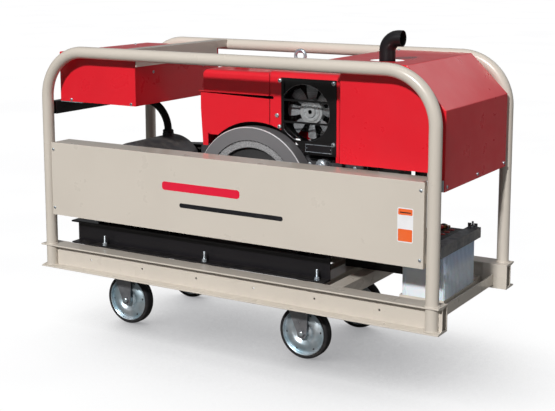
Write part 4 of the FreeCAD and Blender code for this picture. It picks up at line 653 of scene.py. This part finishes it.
def make_hoop(side):
    """One bent tube hoop with its two posts."""
    low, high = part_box(f"hoop_{side}")
    radius = (high.y - low.y) / 2
    y = (high.y + low.y) / 2
    x0, x1, top = low.x + radius, high.x - radius, high.z - radius
    path = bent_path([(x0, y, low.z), (x0, y, top), (x1, y, top), (x1, y, low.z)], 0.195, 28)
    shape = Shape()
    shape.tube(path, radius - 0.00005, 0, 56)
    shape.piece(f"hoop_tube_{side}", "root", [IVORY], [f"hoop_{side}"], weighted=True)


def make_welds():
    """Weld beads round each post, on the rail's top and on its lower flange."""
    shape = Shape()
    seed = 0
    for side in SIDES:
        low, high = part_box(f"hoop_{side}")
        rail_low, rail_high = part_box(f"rail_{side}")
        radius = (high.y - low.y) / 2
        y = (high.y + low.y) / 2
        for x in (low.x + radius, high.x - radius):
            for z in (rail_high.z + 0.0008, rail_low.z + 0.0090):
                seed += 1
                shape.bead(closed_ring((x, y, z), radius + 0.001, "Z", 60), 0.0026, 0, seed)
    shape.piece("post_welds", "root", [IVORY])


def make_guard_marks():
    """Plain stripes and a blank orange and white label on the guard panel."""
    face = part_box("guard_panel")[0].y
    shape = Shape()

    def stripe(x0, x1, z0, z1, finish, thick=0.0003, corner=0.004):
        """A thin rectangle on the panel's face with round corners."""
        outline = []
        for cx, cz, start in ((x1 - corner, z1 - corner, 0), (x0 + corner, z1 - corner, 90),
                              (x0 + corner, z0 + corner, 180), (x1 - corner, z0 + corner, 270)):
            for step in range(5):
                turn = math.radians(start + 22.5 * step)
                outline.append((cx + corner * math.cos(turn), cz + corner * math.sin(turn)))
        lay = Matrix.Translation((0, face + 0.0001, 0)) @ Matrix.Rotation(math.radians(90), 4, "X")
        shape.prism([(x, z) for x, z in outline], thick, lay, finish)

    red, black, white, orange = range(4)
    stripe(-0.276, 0.091, 0.636, 0.670, red, corner=0.012)
    stripe(-0.192, 0.283, 0.572, 0.590, black, corner=0.008)
    label_left, label_right = 0.757, 0.812
    stripe(label_left - 0.003, label_right + 0.003, 0.556, 0.681, white, 0.00025, 0.006)
    stripe(label_left, label_right, 0.655, 0.677, orange, 0.0004, 0.003)
    stripe(label_left, label_right, 0.560, 0.604, orange, 0.0004, 0.003)
    stripe(label_left + 0.006, label_right - 0.006, 0.662, 0.666, black, 0.00055, 0.0015)
    finishes = [RED_VINYL, BLACK_VINYL, WHITE_VINYL, ORANGE_VINYL]
    shape.piece("guard_stripes", "root", finishes)


# ---------------------------------------------------------------- fasteners

def make_fasteners():
    """Zinc screws on the guard and covers, the end cover's angles, and the nuts of the bed bolts."""
    shape = Shape()
    guard_low, guard_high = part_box("guard_panel")
    inset_x, inset_z = 0.0125, 0.030
    for x in (guard_low.x + inset_x, guard_high.x - inset_x):
        for z in (guard_low.z + inset_z, guard_high.z - inset_z):
            shape.screw(x, guard_low.y, z, NEARWARD)
    low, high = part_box("end_cover")
    for y in (low.y + 0.022, 0.006, high.y - 0.022):
        shape.screw(high.x, y, low.z + 0.016, (1, 0, 0))
    for y in (-0.288, 0.288):
        shape.screw(low.x + 0.040, y, high.z, (0, 0, 1))
    post_x, post_inner = 0.885, 0.3282
    foot_half, sheet_half = 0.0135, 0.0015
    for sign in (-1, 1):
        edge = (high.y + 0.0003) * sign
        for half, reach in ((foot_half, edge + 0.0030 * sign), (sheet_half, post_inner * sign)):
            near, far = sorted((edge, reach))
            shape.block((post_x - half, near, low.z + 0.002), (post_x + half, far, low.z + 0.042), 0,
                        0.0006, 2)
    low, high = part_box("control_cover")
    for x in (-0.797, -0.480):
        shape.screw(x, low.y, low.z + 0.008, NEARWARD)
        shape.screw(x, high.y, low.z + 0.008, FARWARD)
    for y in (-0.180, 0.180):
        shape.screw(high.x, y, high.z - 0.076, (1, 0, 0))
        shape.screw(low.x + 0.026, y, high.z, (0, 0, 1))
    seat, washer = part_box("bed_channels")[0].z + 0.007, 0.002
    for x in (-0.645, -0.133, 0.384):
        for y in (-0.290, 0.290):
            profile = [(0.0052, 0), (0.011, 0), (0.011, washer), (0.0052, washer)]
            shape.lathe(profile, at(x, y, seat), 0, 32, True)
            shape.hexagon(x, y, seat + washer, (0, 0, 1), 0.010, 0.009, 0, 0.005, 0.031)
    shape.piece("zinc_fasteners", "root", [ZINC, DARK_METAL], ["fasteners"])


def make_screen_screws():
    """Screws at the corners of the fan screen, and a bolt in the side panel beside it."""
    low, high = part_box("fan_screen")
    face = low.y
    shape = Shape()
    for x, z in ((low.x + 0.014, high.z - 0.012), (high.x - 0.012, high.z - 0.012),
                 (low.x + 0.012, low.z + 0.100), (high.x - 0.012, low.z + 0.046)):
        shape.screw(x, face, z, NEARWARD, 0.0088)
    shape.hexagon(0.124, face + 0.0016, 0.936, NEARWARD, 0.0088, 0.006)
    shape.piece("screen_screws", "root", [BRIGHT, DARK_METAL])


# ---------------------------------------------------------------- the engine's flywheel side

def make_flywheel():
    """The flywheel: a smooth painted rim, a dashed seam, a rough cast ring and a dark dished web."""
    low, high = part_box("flywheel")
    x, _, z = JOINTS["crank_spin"]["pos_m"]
    radius = (high.x - low.x) / 2
    face = -0.165
    centre = (x, face, z)
    seam, cast_edge, hub = radius - 0.0545, radius - 0.084, 0.070
    rim = paint("flywheel_rim_looks", srgb(118, 117, 119), srgb(106, 105, 108), srgb(150, 150, 152), 0.40,
                0.15, 0.5, dust=0.0)
    chamfer = turned_metal("flywheel_edge_looks", srgb(240, 240, 242), centre, "Y", 0.22, metallic=0.25)
    cast = casting("flywheel_cast_looks", srgb(84, 84, 86), srgb(196, 196, 198), 0.5, 420.0, 0.9)
    hollow = casting("flywheel_web_looks", srgb(30, 30, 31), srgb(48, 48, 50), 0.5, 240.0, 0.6)
    shape = Shape()
    back = Matrix.Translation(centre) @ Matrix.Rotation(math.radians(-90), 4, "X")
    steps = 192
    outline = [(seam, 0.0012), (radius - 0.0535, 0.0), (radius - 0.0034, 0.0)]
    shape.lathe(outline, back, 0, steps)
    shape.lathe([(radius - 0.0034, 0.0), (radius - 0.0022, 0.0002), (radius, 0.0030)], back, 1, steps)
    outline = [(radius, 0.0030), (radius, 0.0630), (radius - 0.002, 0.065), (radius - 0.040, 0.065)]
    shape.lathe(outline, back, 0, steps)
    shape.lathe([(cast_edge, 0.024), (radius - 0.0835, 0.006), (radius - 0.0815, 0.005),
                 (radius - 0.0560, 0.005), (seam, 0.0012)], back, 2, steps)
    outline = [(hub, 0.016), (0.074, 0.018), (radius - 0.088, 0.0235), (cast_edge, 0.024)]
    shape.lathe(outline, back, 3, steps)
    shape.lathe([(0.0, 0.0), (0.058, 0.0), (0.066, 0.001), (hub, 0.005), (hub, 0.016)], back, 3, 96)
    outline = [(radius - 0.040, 0.065), (radius - 0.048, 0.040), (hub, 0.040), (hub, 0.065), (0.030, 0.065)]
    shape.lathe(outline, back, 3, 96)
    for turn in turns(72):
        spot = Matrix.Translation(on_circle((x, face - 0.00035, z), seam, turn))
        lay = spot @ Matrix.Rotation(-turn - math.pi / 2, 4, "Y")
        shape.block((-0.0062, 0, -0.0011), (0.0062, 0.002, 0.0011), 3, matrix=lay)
    for turn in turns(6, 0.5):
        shape.hexagon(*on_circle(centre, 0.050, turn), NEARWARD, 0.0088, 0.0055, 4)
    shape.hexagon(x, face - 0.0005, z, NEARWARD, 0.030, 0.005, 4)
    finishes = [rim, chamfer, cast, hollow, DARK_METAL]
    shape.piece("flywheel_face", "crankshaft", finishes, ["flywheel"], angle=24.0)


def make_crank_pulley():
    """The pulley with two square grooves on the crankshaft's far end, and its shaft."""
    x, _, z = JOINTS["crank_spin"]["pos_m"]
    shape = Shape()
    shaft, wide, groove = 0.030, 0.036, 0.011
    shape.lathe([(shaft, 0), (shaft, 0.232)], at(x, -0.105, z, FARWARD), 0, 64)
    start, land = 0.127, (wide - groove * 2) / 3
    outer, inner = 0.130, 0.130 - 0.0083
    first, second = land + groove, land * 2 + groove
    profile = [(shaft, 0), (0.034, 0.0), (0.036, 0.003), (0.100, 0.006), (outer - 0.012, 0.001),
               (outer - 0.001, 0), (outer, 0.001), (outer, land), (inner, land), (inner, first),
               (outer, first), (outer, second), (inner, second), (inner, second + groove),
               (outer, second + groove), (outer, 0.035), (outer - 0.001, wide), (outer - 0.012, 0.035),
               (0.100, 0.030), (0.046, 0.031), (0.044, wide), (shaft, wide)]
    shape.lathe(profile, at(x, start, z, FARWARD), 1, 128)
    for turn in turns(5):
        shape.hexagon(*on_circle((x, start + 0.030, z), 0.060, turn), FARWARD, 0.008, 0.005, 2)
    pulley_metal = turned_metal("crank_pulley_looks", srgb(150, 152, 156), (x, start, z), "Y", 0.32)
    shape.piece("crank_pulley", "crankshaft", [DARK_METAL, pulley_metal, ZINC], angle=24.0)


def make_fan():
    """The cooling fan: a dished hub with a boss and rivets, and eight twisted sheet blades."""
    x, _, z = JOINTS["fan_spin"]["pos_m"]
    front, root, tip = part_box("cooling_fan")[0].y, 0.046, 0.1085
    shape = Shape()
    hub = at(x, front + 0.0342, z, NEARWARD)
    shape.lathe([(0.050, 0.0), (0.052, 0.002), (0.052, 0.020), (0.049, 0.0255), (0.040, 0.0262),
                 (0.037, 0.029), (0.031, 0.0298), (0.0295, 0.0262), (0.024, 0.0262), (0.022, 0.0312),
                 (0.020, 0.0338), (0.0, 0.0338)], hub, 1, 96)
    shape.lathe([(0.0, 0.0), (0.050, 0.0)], hub, 1, 72)
    for turn in turns(6):
        rivet = at(*on_circle((x, front + 0.0042, z), 0.027, turn), NEARWARD)
        shape.lathe([(0, 0.0018), (0.0026, 0.0014), (0.0034, 0.0)], rivet, 0, 16)
    shape.hexagon(x, front + 0.0036, z, NEARWARD, 0.0105, 0.0032, 2)
    for number in range(8):
        blade = bmesh.new()
        rows = []
        for step in range(9):
            reach = root + (tip - root) * step / 8
            twist = math.radians(38 - 14 * step / 8)
            half = 0.0155 + 0.0085 * math.sin(math.pi * min(1, step / 6) / 2)
            row = []
            for across in range(9):
                share = across / 8 * 2 - 1
                camber = 0.0022 * (1 - share * share)
                width, rise = share * half * math.cos(twist), share * half * math.sin(twist) * 0.62 + camber
                row.append(blade.verts.new((reach - 0.006 * share * share * (step / 8), width, rise)))
            rows.append(row)
        for one, two in zip(rows, rows[1:]):
            for across in range(8):
                blade.faces.new((one[across], one[across + 1], two[across + 1], two[across]))
        bmesh.ops.solidify(blade, geom=blade.faces[:], thickness=0.0012)
        place = at(x, front + 0.0190, z, NEARWARD) @ Matrix.Rotation(math.tau * number / 8, 4, "Z")
        shape.take(blade, place, 0)
    shaft = 0.0079
    shape.lathe([(0.0, 0.0), (shaft, 0.0), (shaft, 0.030), (0.0, 0.030)], at(x, -0.068, z, FARWARD), 2, 32)
    blades = turned_metal("fan_blade_looks", srgb(226, 230, 234), (x, front, z), "Y", 0.24, 500.0, 0.45, 0.12)
    hub_metal = turned_metal("fan_hub_looks", srgb(222, 226, 228), (x, front, z), "Y", 0.24, 1400.0, 0.55)
    shape.piece("fan_wheel", "fan", [blades, hub_metal, DARK_METAL], ["cooling_fan"])


def make_shroud_face():
    """The black plate just behind the screen, with a round hole for the fan and a bright rim to it."""
    x, _, z = JOINTS["fan_spin"]["pos_m"]
    low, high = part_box("fan_screen")
    hole, front = 0.112, low.y + 0.0045
    left, right, bottom, top = low.x + 0.009, high.x - 0.009, low.z + 0.010, high.z - 0.010
    arch_x, arch_z, arch = 0.025, 0.620, 0.288
    plate = bmesh.new()
    rows = []
    for turn in turns(144):
        across, rise = math.cos(turn), math.sin(turn)
        reach = min((right - x if across > 0 else x - left) / max(abs(across), 1e-6),
                    (top - z if rise > 0 else z - bottom) / max(abs(rise), 1e-6))
        while reach > hole + 0.001 and math.hypot(x + across * reach - arch_x,
                                                  z + rise * reach - arch_z) < arch:
            reach -= 0.001
        rows.append([plate.verts.new((x + across * far, y, z + rise * far))
                     for far, y in ((hole, front), (max(reach, hole + 0.001), front),
                                    (max(reach, hole + 0.001), front + 0.0015), (hole, front + 0.0015))])
    for one, two in zip(rows, rows[1:] + rows[:1]):
        for corner in range(4):
            following = (corner + 1) % 4
            plate.faces.new((one[corner], one[following], two[following], two[corner]))
    bmesh.ops.recalc_face_normals(plate, faces=plate.faces)
    shape = Shape()
    shape.take(plate)
    rim = [(hole - 0.0002, 0.0), (hole + 0.0006, -0.0006), (hole + 0.0014, 0.0)]
    shape.lathe(rim, at(x, front - 0.0001, z, FARWARD), 1, 120)
    shape.piece("fan_shroud_face", "root", [SCREEN, STEEL])


def make_box_trim():
    """Caps that close the control box's support channel, and a zinc strip under the box's near edge."""
    shape = Shape()
    low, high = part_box("support_channel")
    for y0, y1 in ((low.y + 0.0005, low.y + 0.0030), (high.y - 0.0030, high.y - 0.0005)):
        shape.block((low.x + 0.0005, y0, low.z + 0.0052), (high.x - 0.0052, y1, high.z - 0.0052), 0,
                    0.0004, 1)
    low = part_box("control_cover")[0]
    shape.block(low + Vector((-0.002, 0.0004, -0.0040)), low + Vector((0.116, 0.0130, -0.0006)), 1, 0.0005, 1)
    shape.piece("box_trim", "root", [BLACK, BRIGHT])


def make_nameplate():
    """A blank plate with a raised border and two rivets under the fan screen."""
    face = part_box("fan_screen")[0].y
    shape = Shape()
    x0, x1, z0, z1 = 0.253, 0.369, 0.803, 0.832
    shape.block((x0, face - 0.0008, z0), (x1, face, z1), 0, 0.0003, 1)
    rim = [(x0, z0), (x1, z0), (x1, z1), (x0, z1), (x0, z0)]
    shape.tube([(px, face - 0.0010, pz) for px, pz in rim], 0.0011, 1, 8)
    for px in (x0 + 0.005, x1 - 0.005):
        rivet = at(px, face - 0.0008, (z0 + z1) / 2, NEARWARD)
        shape.lathe([(0, 0.0014), (0.0016, 0.0010), (0.0022, 0)], rivet, 1, 14)
    shape.piece("blank_nameplate", "root", [BLACK, ZINC])


def make_engine_details():
    """What shows round the engine: a filter cap, fuel pipes, cover bolts and a hose."""
    shape = Shape()
    face = -0.092
    filter_x, filter_z, cap = 0.315, 0.752, 0.0225
    seat = at(filter_x, face, filter_z, NEARWARD)
    shape.lathe([(0, 0.052), (0.012, 0.052), (0.0150, 0.0495), (0.0205, 0.049), (cap, 0.046), (cap, 0.030),
                 (0.020, 0.028), (0.020, 0.0)], seat, 0, 40)
    for turn in turns(12):
        rib = seat @ Matrix.Rotation(turn, 4, "Z") @ Matrix.Translation((0, cap, 0))
        shape.block((-0.0016, -0.0012, 0.031), (0.0016, 0.0012, 0.048), 0, 0.0005, 1, matrix=rib)
    shape.hexagon(filter_x, face - 0.052, filter_z, NEARWARD, 0.0085, 0.005, 0)
    level = face - 0.030
    pipe = bent_path([(0.350, face - 0.012, 0.560), (0.350, level, 0.560), (0.350, level, 0.700),
                      (0.470, level, 0.700), (0.470, face + 0.004, 0.700)], 0.014, 6)
    shape.tube(pipe, 0.0032, 1, 12)
    level = face - 0.026
    hose = bent_path([(0.200, face - 0.004, 0.700), (0.200, level, 0.700), (0.300, level, 0.720),
                      (0.300, level, 0.640), (0.380, level, 0.600), (0.380, face + 0.004, 0.600)], 0.016, 6)
    shape.tube(hose, 0.0052, 2, 14)
    for x, z in ((0.220, 0.520), (0.220, 0.640), (0.330, 0.500), (0.440, 0.520), (0.455, 0.640),
                 (0.440, 0.745), (0.240, 0.745)):
        shape.hexagon(x, face, z, NEARWARD, 0.0078, 0.0055, 0)
        shape.hexagon(x, -face, z, FARWARD, 0.0078, 0.0055, 0)
    shape.piece("engine_fittings", "root", [ZINC, BRASS, CABLE, CASTING])


# ---------------------------------------------------------------- casters

def make_wheel(corner):
    """A pressed zinc wheel with a raised rim, a dished face and a ring of black discs painted as the shade
    inside its holes, in a solid tyre.
    """
    x, y, z = JOINTS[f"roll_{corner}"]["pos_m"]
    low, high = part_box(f"wheel_{corner}")
    tyre_low, tyre_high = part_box(f"tyre_{corner}")
    half = (tyre_high.y - tyre_low.y) / 2
    outer, rim = (tyre_high.x - tyre_low.x) / 2, (high.x - low.x) / 2
    hub, hole_circle = 0.0190, 0.074
    dish = [(hub, 0.0065), (0.026, 0.0090), (0.034, 0.0100), (0.041, 0.0062), (0.047, 0.0016),
            (0.053, 0.0011), (0.060, 0.0018), (0.068, 0.0040), (0.076, 0.0074)]
    lip = [(0.0085, 0.0118), (0.0055, 0.0118), (0.0040, 0.0060), (0.0032, 0.0018), (0.0018, 0.0010),
           (0.0003, 0.0012)]
    profile = [(0.0101, 0.0268), (0.0172, 0.0268), (hub, 0.0255)]
    profile += [(radius, half - drop) for radius, drop in dish]
    profile += [(rim - inset, half - drop) for inset, drop in lip]
    body = f"roller_{corner}"
    shape = Shape()
    for axis in (NEARWARD, FARWARD):
        face = at(x, y, z, axis)
        shape.lathe(profile, face, 0, 96)
        # Each hole is a flat black disc: painted shade where a hole would show the dark inside of the wheel.
        for turn in turns(6):
            spot = on_circle((0, 0, half - 0.0068), hole_circle, turn + math.radians(6), "Z")
            hole = face @ Matrix.Translation(spot)
            shape.lathe([(0, 0.0006), (0.0038, 0.0006), (0.0044, 0.0000)], hole, 1, 20)
    shape.piece(f"wheel_disc_{corner}", body, [WHEEL, BLACK], [f"wheel_{corner}"])
    tread = Shape()
    profile = [(rim + 0.0002, 0.002), (rim + 0.0015, 0.0006), (rim + 0.004, 0.0001), (outer - 0.0090, 0),
               (outer - 0.0085, 0.0004), (outer - 0.0062, 0.0010), (outer - 0.0032, 0.0026),
               (outer - 0.0011, 0.0058), (outer, 0.0105)]
    profile = [(radius, drop - half) for radius, drop in profile]
    profile += [(radius, -height) for radius, height in reversed(profile)]
    tread.lathe(profile, at(x, y, z, FARWARD), 0, 128)
    tread.piece(f"tyre_tread_{corner}", body, [TYRE], [f"tyre_{corner}"])


def make_axle_caps(corner):
    """The domed axle nuts on a fork."""
    x, _, z = JOINTS[f"roll_{corner}"]["pos_m"]
    low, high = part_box(f"fork_{corner}")
    shape = Shape()
    for y, axis in ((low.y + 0.0072, NEARWARD), (high.y - 0.0072, FARWARD)):
        shape.lathe([(0, 0.0068), (0.006, 0.0062), (0.0090, 0.0040), (0.0098, 0.0)], at(x, y, z, axis), 0, 28)
    shape.piece(f"axle_caps_{corner}", f"caster_{corner}", [BRIGHT])


def make_plate_bolts():
    """Four bolts through each caster plate."""
    shape = Shape()
    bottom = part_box("rail_near")[0].z - 0.006
    for corner in CORNERS:
        x, y, _ = JOINTS[f"swivel_{corner}"]["pos_m"]
        for along in (-0.050, 0.050):
            for across in (-0.042, 0.042):
                shape.hexagon(x + along, y + across, bottom, (0, 0, -1), 0.0082, 0.006)
    shape.piece("plate_bolts", "root", [ZINC])


# ---------------------------------------------------------------- battery, exhaust and conduit

def make_battery():
    """A ribbed translucent case under a black lid with vent plugs, and its two clamped posts."""
    low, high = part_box("battery")
    top = high.z - 0.003
    shape = Shape()

    def slab(inset, bottom, lid, finish, edge, steps):
        """A block of the case's own outline, drawn in by an inset."""
        shape.block((low.x + inset, low.y + inset, bottom), (high.x - inset, high.y - inset, lid), finish,
                    edge, steps)

    def rib(x, y, half_x, half_y):
        shape.block((x - half_x, y - half_y, foot), (x + half_x, y + half_y, collar), 0, 0.0012, 2)

    foot, collar = low.z + 0.012, top - 0.036
    slab(0.003, low.z + 0.001, top - 0.022, 0, 0.004, 3)
    slab(0.0012, collar, top - 0.0225, 0, 0.002, 2)
    slab(0.0, low.z, foot, 0, 0.003, 2)
    count = 22
    for step in range(count):
        y = low.y + 0.012 + (high.y - low.y - 0.024) * step / (count - 1)
        for x in (low.x + 0.0024, high.x - 0.0024):
            rib(x, y, 0.0018, 0.0022)
    for y in (low.y + 0.0024, high.y - 0.0024):
        for x in (low.x + 0.014, high.x - 0.014):
            rib(x, y, 0.004, 0.0016)
    slab(0.0, top - 0.0222, top, 1, 0.003, 3)
    shape.block((low.x + 0.074, low.y + 0.020, top - 0.001), (low.x + 0.106, high.y - 0.020, top + 0.0006), 1,
                0.0005, 1)
    for step in range(6):
        spot = at(low.x + 0.090, (step - 2.5) * 0.044, top)
        shape.lathe([(0, 0.0030), (0.0085, 0.0030), (0.0105, 0.0022), (0.011, 0.0006)], spot, 2, 28)
        shape.block((-0.007, -0.0012, 0.0024), (0.007, 0.0012, 0.0030), 1, matrix=spot)
    shape.piece("battery_case", "root", [CASE, PLASTIC, RED_PLASTIC], ["battery"])


def make_battery_terminals():
    """Lead clamps with a pinch bolt on each post, and the two leads."""
    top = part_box("battery")[1].z - 0.003
    x, reach, level, cover_side = 0.722, 0.122, 0.509, 0.600
    clamp_bore, clamp_outer, clamp_low, clamp_high = 0.0088, 0.0150, 0.0015, 0.0145
    clamp = [(clamp_bore, clamp_low), (clamp_outer, clamp_low), (clamp_outer, clamp_high),
             (clamp_bore, clamp_high)]
    shape = Shape()
    for sign in (-1, 1):
        y, sleeve = reach * sign, 3 if sign < 0 else 4
        post = at(x, y, top)
        shape.lathe([(0, 0.0180), (0.0078, 0.0178), (0.0088, 0.0165), (0.0095, 0.0)], post, 0, 28)
        shape.lathe(clamp, post, 1, 32, True)
        for y0, y1 in ((y - 0.005, y - 0.0008), (y + 0.0008, y + 0.005)):
            shape.block((x + 0.006, y0, top + 0.003), (x + 0.026, y1, top + 0.013), 1, 0.001, 2)
        shape.hexagon(x + 0.020, y - 0.005, top + 0.008, NEARWARD, 0.0058, 0.004, 2)
        shape.hexagon(x + 0.020, y + 0.005, top + 0.008, FARWARD, 0.0058, 0.004, 2)
        start = (reach - 0.0135) * sign
        bend = (reach - 0.0755) * sign - 0.0155 * sign
        path = bent_path([(x, start, level), (x, bend, level), (cover_side, bend, level)], 0.030, 14)
        shape.tube(path, 0.006, sleeve, 20)
        shape.tube([(x, start, level), (x, start - 0.018 * sign, level)], 0.0074, sleeve, 20)
    finishes = [DARK_METAL, BRASS, ZINC, CABLE, RED_PLASTIC]
    shape.piece("battery_terminals", "root", finishes, ["battery_leads"])


def make_stack():
    """The exhaust pipe with a rolled lip and soot at its outlet."""
    low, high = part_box("exhaust_stack")
    outer, wall = 0.03025, 0.0030
    y = (low.y + high.y) / 2
    x = low.x + outer
    top = high.z - outer
    shape = Shape()
    path = bent_path([(x, y, low.z), (x, y, top), (high.x, y, top)], 0.046, 20)
    shape.tube(path, outer - 0.0001, 0, 56, outer - wall)
    soot = [(outer - wall - 0.0002, 0.0), (outer - wall - 0.0004, 0.040)]
    shape.lathe(soot, at(high.x - 0.040, y, top, (1, 0, 0)), 1, 48)
    shape.tube(closed_ring((high.x - 0.0018, y, top), outer - 0.0016, "X", 48), 0.0015, 0, 10)
    finishes = [BLACK, casting("soot_looks", srgb(12, 12, 12), srgb(24, 23, 22), 0.8, 300.0, 0.6)]
    shape.piece("exhaust_pipe", "root", finishes, ["exhaust_stack"], angle=50.0)


def make_cover_collar():
    """A red rolled edge round the hole in the end cover that the exhaust passes through."""
    hole_x, hole_y, hole_radius = 0.598, -0.150, 0.0648
    centre = (hole_x, hole_y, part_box("end_cover")[1].z - 0.0010)
    shape = Shape()
    shape.tube(closed_ring(centre, hole_radius, "Z", 72), 0.0010, 0, 8)
    shape.piece("stack_hole_edge", "root", [RED])


def make_conduit():
    """A ribbed plastic conduit with a gland nut at each end."""
    low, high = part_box("conduit")
    radius, y = 0.0170, (low.y + high.y) / 2
    x0, x1 = low.x + radius, high.x - radius
    level = 0.927
    corners = [(x0, y, high.z), (x0, y, level), (x1, y, level), (x1, y, low.z)]
    path = resample(bent_tour([Vector(corner) for corner in corners], (0.020, 0.128), 26), 0.0020)
    shape = Shape()
    shape.tube(path, lambda index: radius - 0.0003 - (0.0011 if index % 3 == 0 else 0.0), 0, 32)
    nut = [(radius + 0.0005, 0.0), (radius + 0.006, 0.0), (radius + 0.0068, 0.001), (radius + 0.0068, 0.012),
           (radius + 0.002, 0.016), (radius + 0.0002, 0.016)]
    shape.lathe(nut, at(x0, y, high.z - 0.0005, (0, 0, -1)), 1, 12)
    shape.lathe(nut, at(x1, y, low.z + 0.0005, (0, 0, 1)), 1, 12)
    shape.piece("ribbed_conduit", "root", [CABLE, PLASTIC], ["conduit"])


def bent_tour(points, radii, steps):
    """A path with a bend of its own radius at each inner corner."""
    path = [points[0]]
    for index, radius in enumerate(radii, start=1):
        leg = bent_path([points[index - 1], points[index], points[index + 1]], radius, steps)
        path += leg[1:-1]
    path.append(points[-1])
    return path


def resample(path, spacing):
    """The same line with evenly spaced points."""
    result = [path[0]]
    left = spacing
    for one, two in zip(path, path[1:]):
        length = (two - one).length
        walked = 0.0
        while length - walked >= left:
            walked += left
            result.append(one.lerp(two, walked / length))
            left = spacing
        left -= length - walked
    result.append(path[-1])
    return result


# ---------------------------------------------------------------- instrument panel

def make_instruments():
    """Dials, ticks and lamps on the instrument panel, with no lettering."""
    low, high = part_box("control_panel")
    face = low.x
    out = (-1, 0, 0)
    shape = Shape()
    y, z = 0.200, 1.096
    shape.lathe([(0, 0.0068), (0.0266, 0.0068)], at(face, y, z, out), 1, 48)
    for step in range(21):
        turn = math.radians(210 - 12 * step)
        long = 0.006 if step % 5 == 0 else 0.0035
        spot = Matrix.Translation((face - 0.0070, y, z)) @ Matrix.Rotation(turn, 4, "X")
        shape.block((-0.0002, 0.0235 - long, -0.0003), (0.0002, 0.0235, 0.0003), 2, matrix=spot)
    needle = Matrix.Translation((face - 0.0078, y, z)) @ Matrix.Rotation(math.radians(130), 4, "X")
    shape.block((-0.0003, -0.004, -0.0006), (0.0003, 0.020, 0.0006), 3, matrix=needle)
    shape.lathe([(0, 0.0092), (0.003, 0.0088), (0.0036, 0.0070)], at(face, y, z, out), 2, 20)
    y, z = 0.020, 1.092
    for step in range(28):
        turn = math.radians(-45 + 10 * step)
        long = 0.007 if step % 3 == 0 else 0.004
        spot = Matrix.Translation((face - 0.0003, y, z)) @ Matrix.Rotation(turn, 4, "X")
        shape.block((-0.0002, 0.034, -0.0005), (0.0002, 0.034 + long, 0.0005), 2, matrix=spot)
    for number, lamp_y in enumerate((-0.100, -0.130, -0.160)):
        lamp = at(face, lamp_y, 1.110, out)
        shape.lathe([(0, 0.0065), (0.004, 0.0055), (0.0055, 0.003), (0.0058, 0.0)], lamp,
                    3 if number == 0 else 4, 24)
        shape.lathe([(0.0058, 0.0018), (0.0082, 0.0018), (0.0086, 0.0)], lamp, 5, 24)
    socket_z = 1.006
    for socket_y in (-0.190, -0.110):
        for turn in turns(3):
            spot = Matrix.Translation((face - 0.0052, socket_y, socket_z)) @ Matrix.Rotation(turn, 4, "X")
            shape.block((-0.0004, 0.008, -0.0014), (0.0004, 0.0145, 0.0014), 5, matrix=spot)
        for dy in (-0.026, 0.026):
            for dz in (-0.026, 0.026):
                shape.screw(face - 0.005, socket_y + dy, socket_z + dz, out, 0.0032, 5)
    for y in (-0.294, 0.294):
        for z in (low.z + 0.020, high.z - 0.020):
            shape.screw(face, y, z, out, 0.0050, 5)
    finishes = [PLASTIC, WHITE_PLASTIC, BLACK_VINYL, RED_PLASTIC, ORANGE_VINYL, ZINC]
    shape.piece("panel_faces", "root", finishes)


# ---------------------------------------------------------------- the generator end

def make_generator_details():
    """Cooling slots drawn as black strips painted as the shade inside them, tie bolts and a bearing cap on
    the generator's near end.
    """
    x, z = -0.556, 0.627
    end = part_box("generator")[0].y
    shape = Shape()
    # Each cooling slot is a thin black strip: painted shade where an opening would be.
    for turn in turns(18):
        spot = Matrix.Translation((x, end, z)) @ Matrix.Rotation(turn, 4, "Y")
        shape.block((0.062, -0.0004, -0.0042), (0.104, 0.0006, 0.0042), 1, 0.0002, 1, matrix=spot)
    for turn in turns(4, 0.5):
        shape.hexagon(*on_circle((x, end + 0.001, z), 0.112, turn), NEARWARD, 0.008, 0.006, 0)
    bearing_cap = [(0, 0.012), (0.030, 0.012), (0.040, 0.008), (0.044, 0.0)]
    shape.lathe(bearing_cap, at(x, end + 0.0005, z, NEARWARD), 2, 48)
    shape.piece("generator_fittings", "root", [ZINC, PLASTIC, BARREL])


# ---------------------------------------------------------------- the scene

def make_floor():
    """A wide flat sheet at the wheels' bottoms."""
    mesh = bmesh.new()
    bmesh.ops.create_grid(mesh, x_segments=1, y_segments=1, size=60.0)
    data = bpy.data.meshes.new("floor")
    mesh.to_mesh(data)
    mesh.free()
    data.materials.append(floor_finish())
    floor = bpy.data.objects.new("floor", data)
    bpy.context.scene.collection.objects.link(floor)


def make_pieces():
    for side in SIDES:
        make_hoop(side)
        soft_copy(f"rail_beam_{side}", f"rail_{side}", "root", IVORY, 0.0012, 3, 0.2, 0.003)
    soft_copy("guard_sheet", "guard_panel", "root", IVORY, 0.0017, 4)
    soft_copy("tank_shell", "fuel_tank", "root", RED, 0.0012, 3, 0.2, 0.003)
    make_welds()
    make_guard_marks()
    make_fasteners()
    make_screen_screws()
    soft_copy("end_cover_sheet", "end_cover", "root", RED, 0.0028, 4)
    soft_copy("control_cover_sheet", "control_cover", "root", RED, 0.0028, 4)
    soft_copy("bed_beams", "bed_channels", "root", BLACK, 0.0016, 3, 0.2, 0.003)
    make_flywheel()
    make_crank_pulley()
    make_fan()
    make_shroud_face()
    make_box_trim()
    make_nameplate()
    make_engine_details()
    for corner in CORNERS:
        make_wheel(corner)
        make_axle_caps(corner)
    make_plate_bolts()
    make_battery()
    make_battery_terminals()
    make_stack()
    make_cover_collar()
    make_conduit()
    make_instruments()
    make_generator_details()


bpy.context.scene.view_settings.view_transform = "Standard"
make_camera()
make_lights()
make_world()
make_floor()
finish_cad()
make_pieces()
bpy.context.view_layer.update()
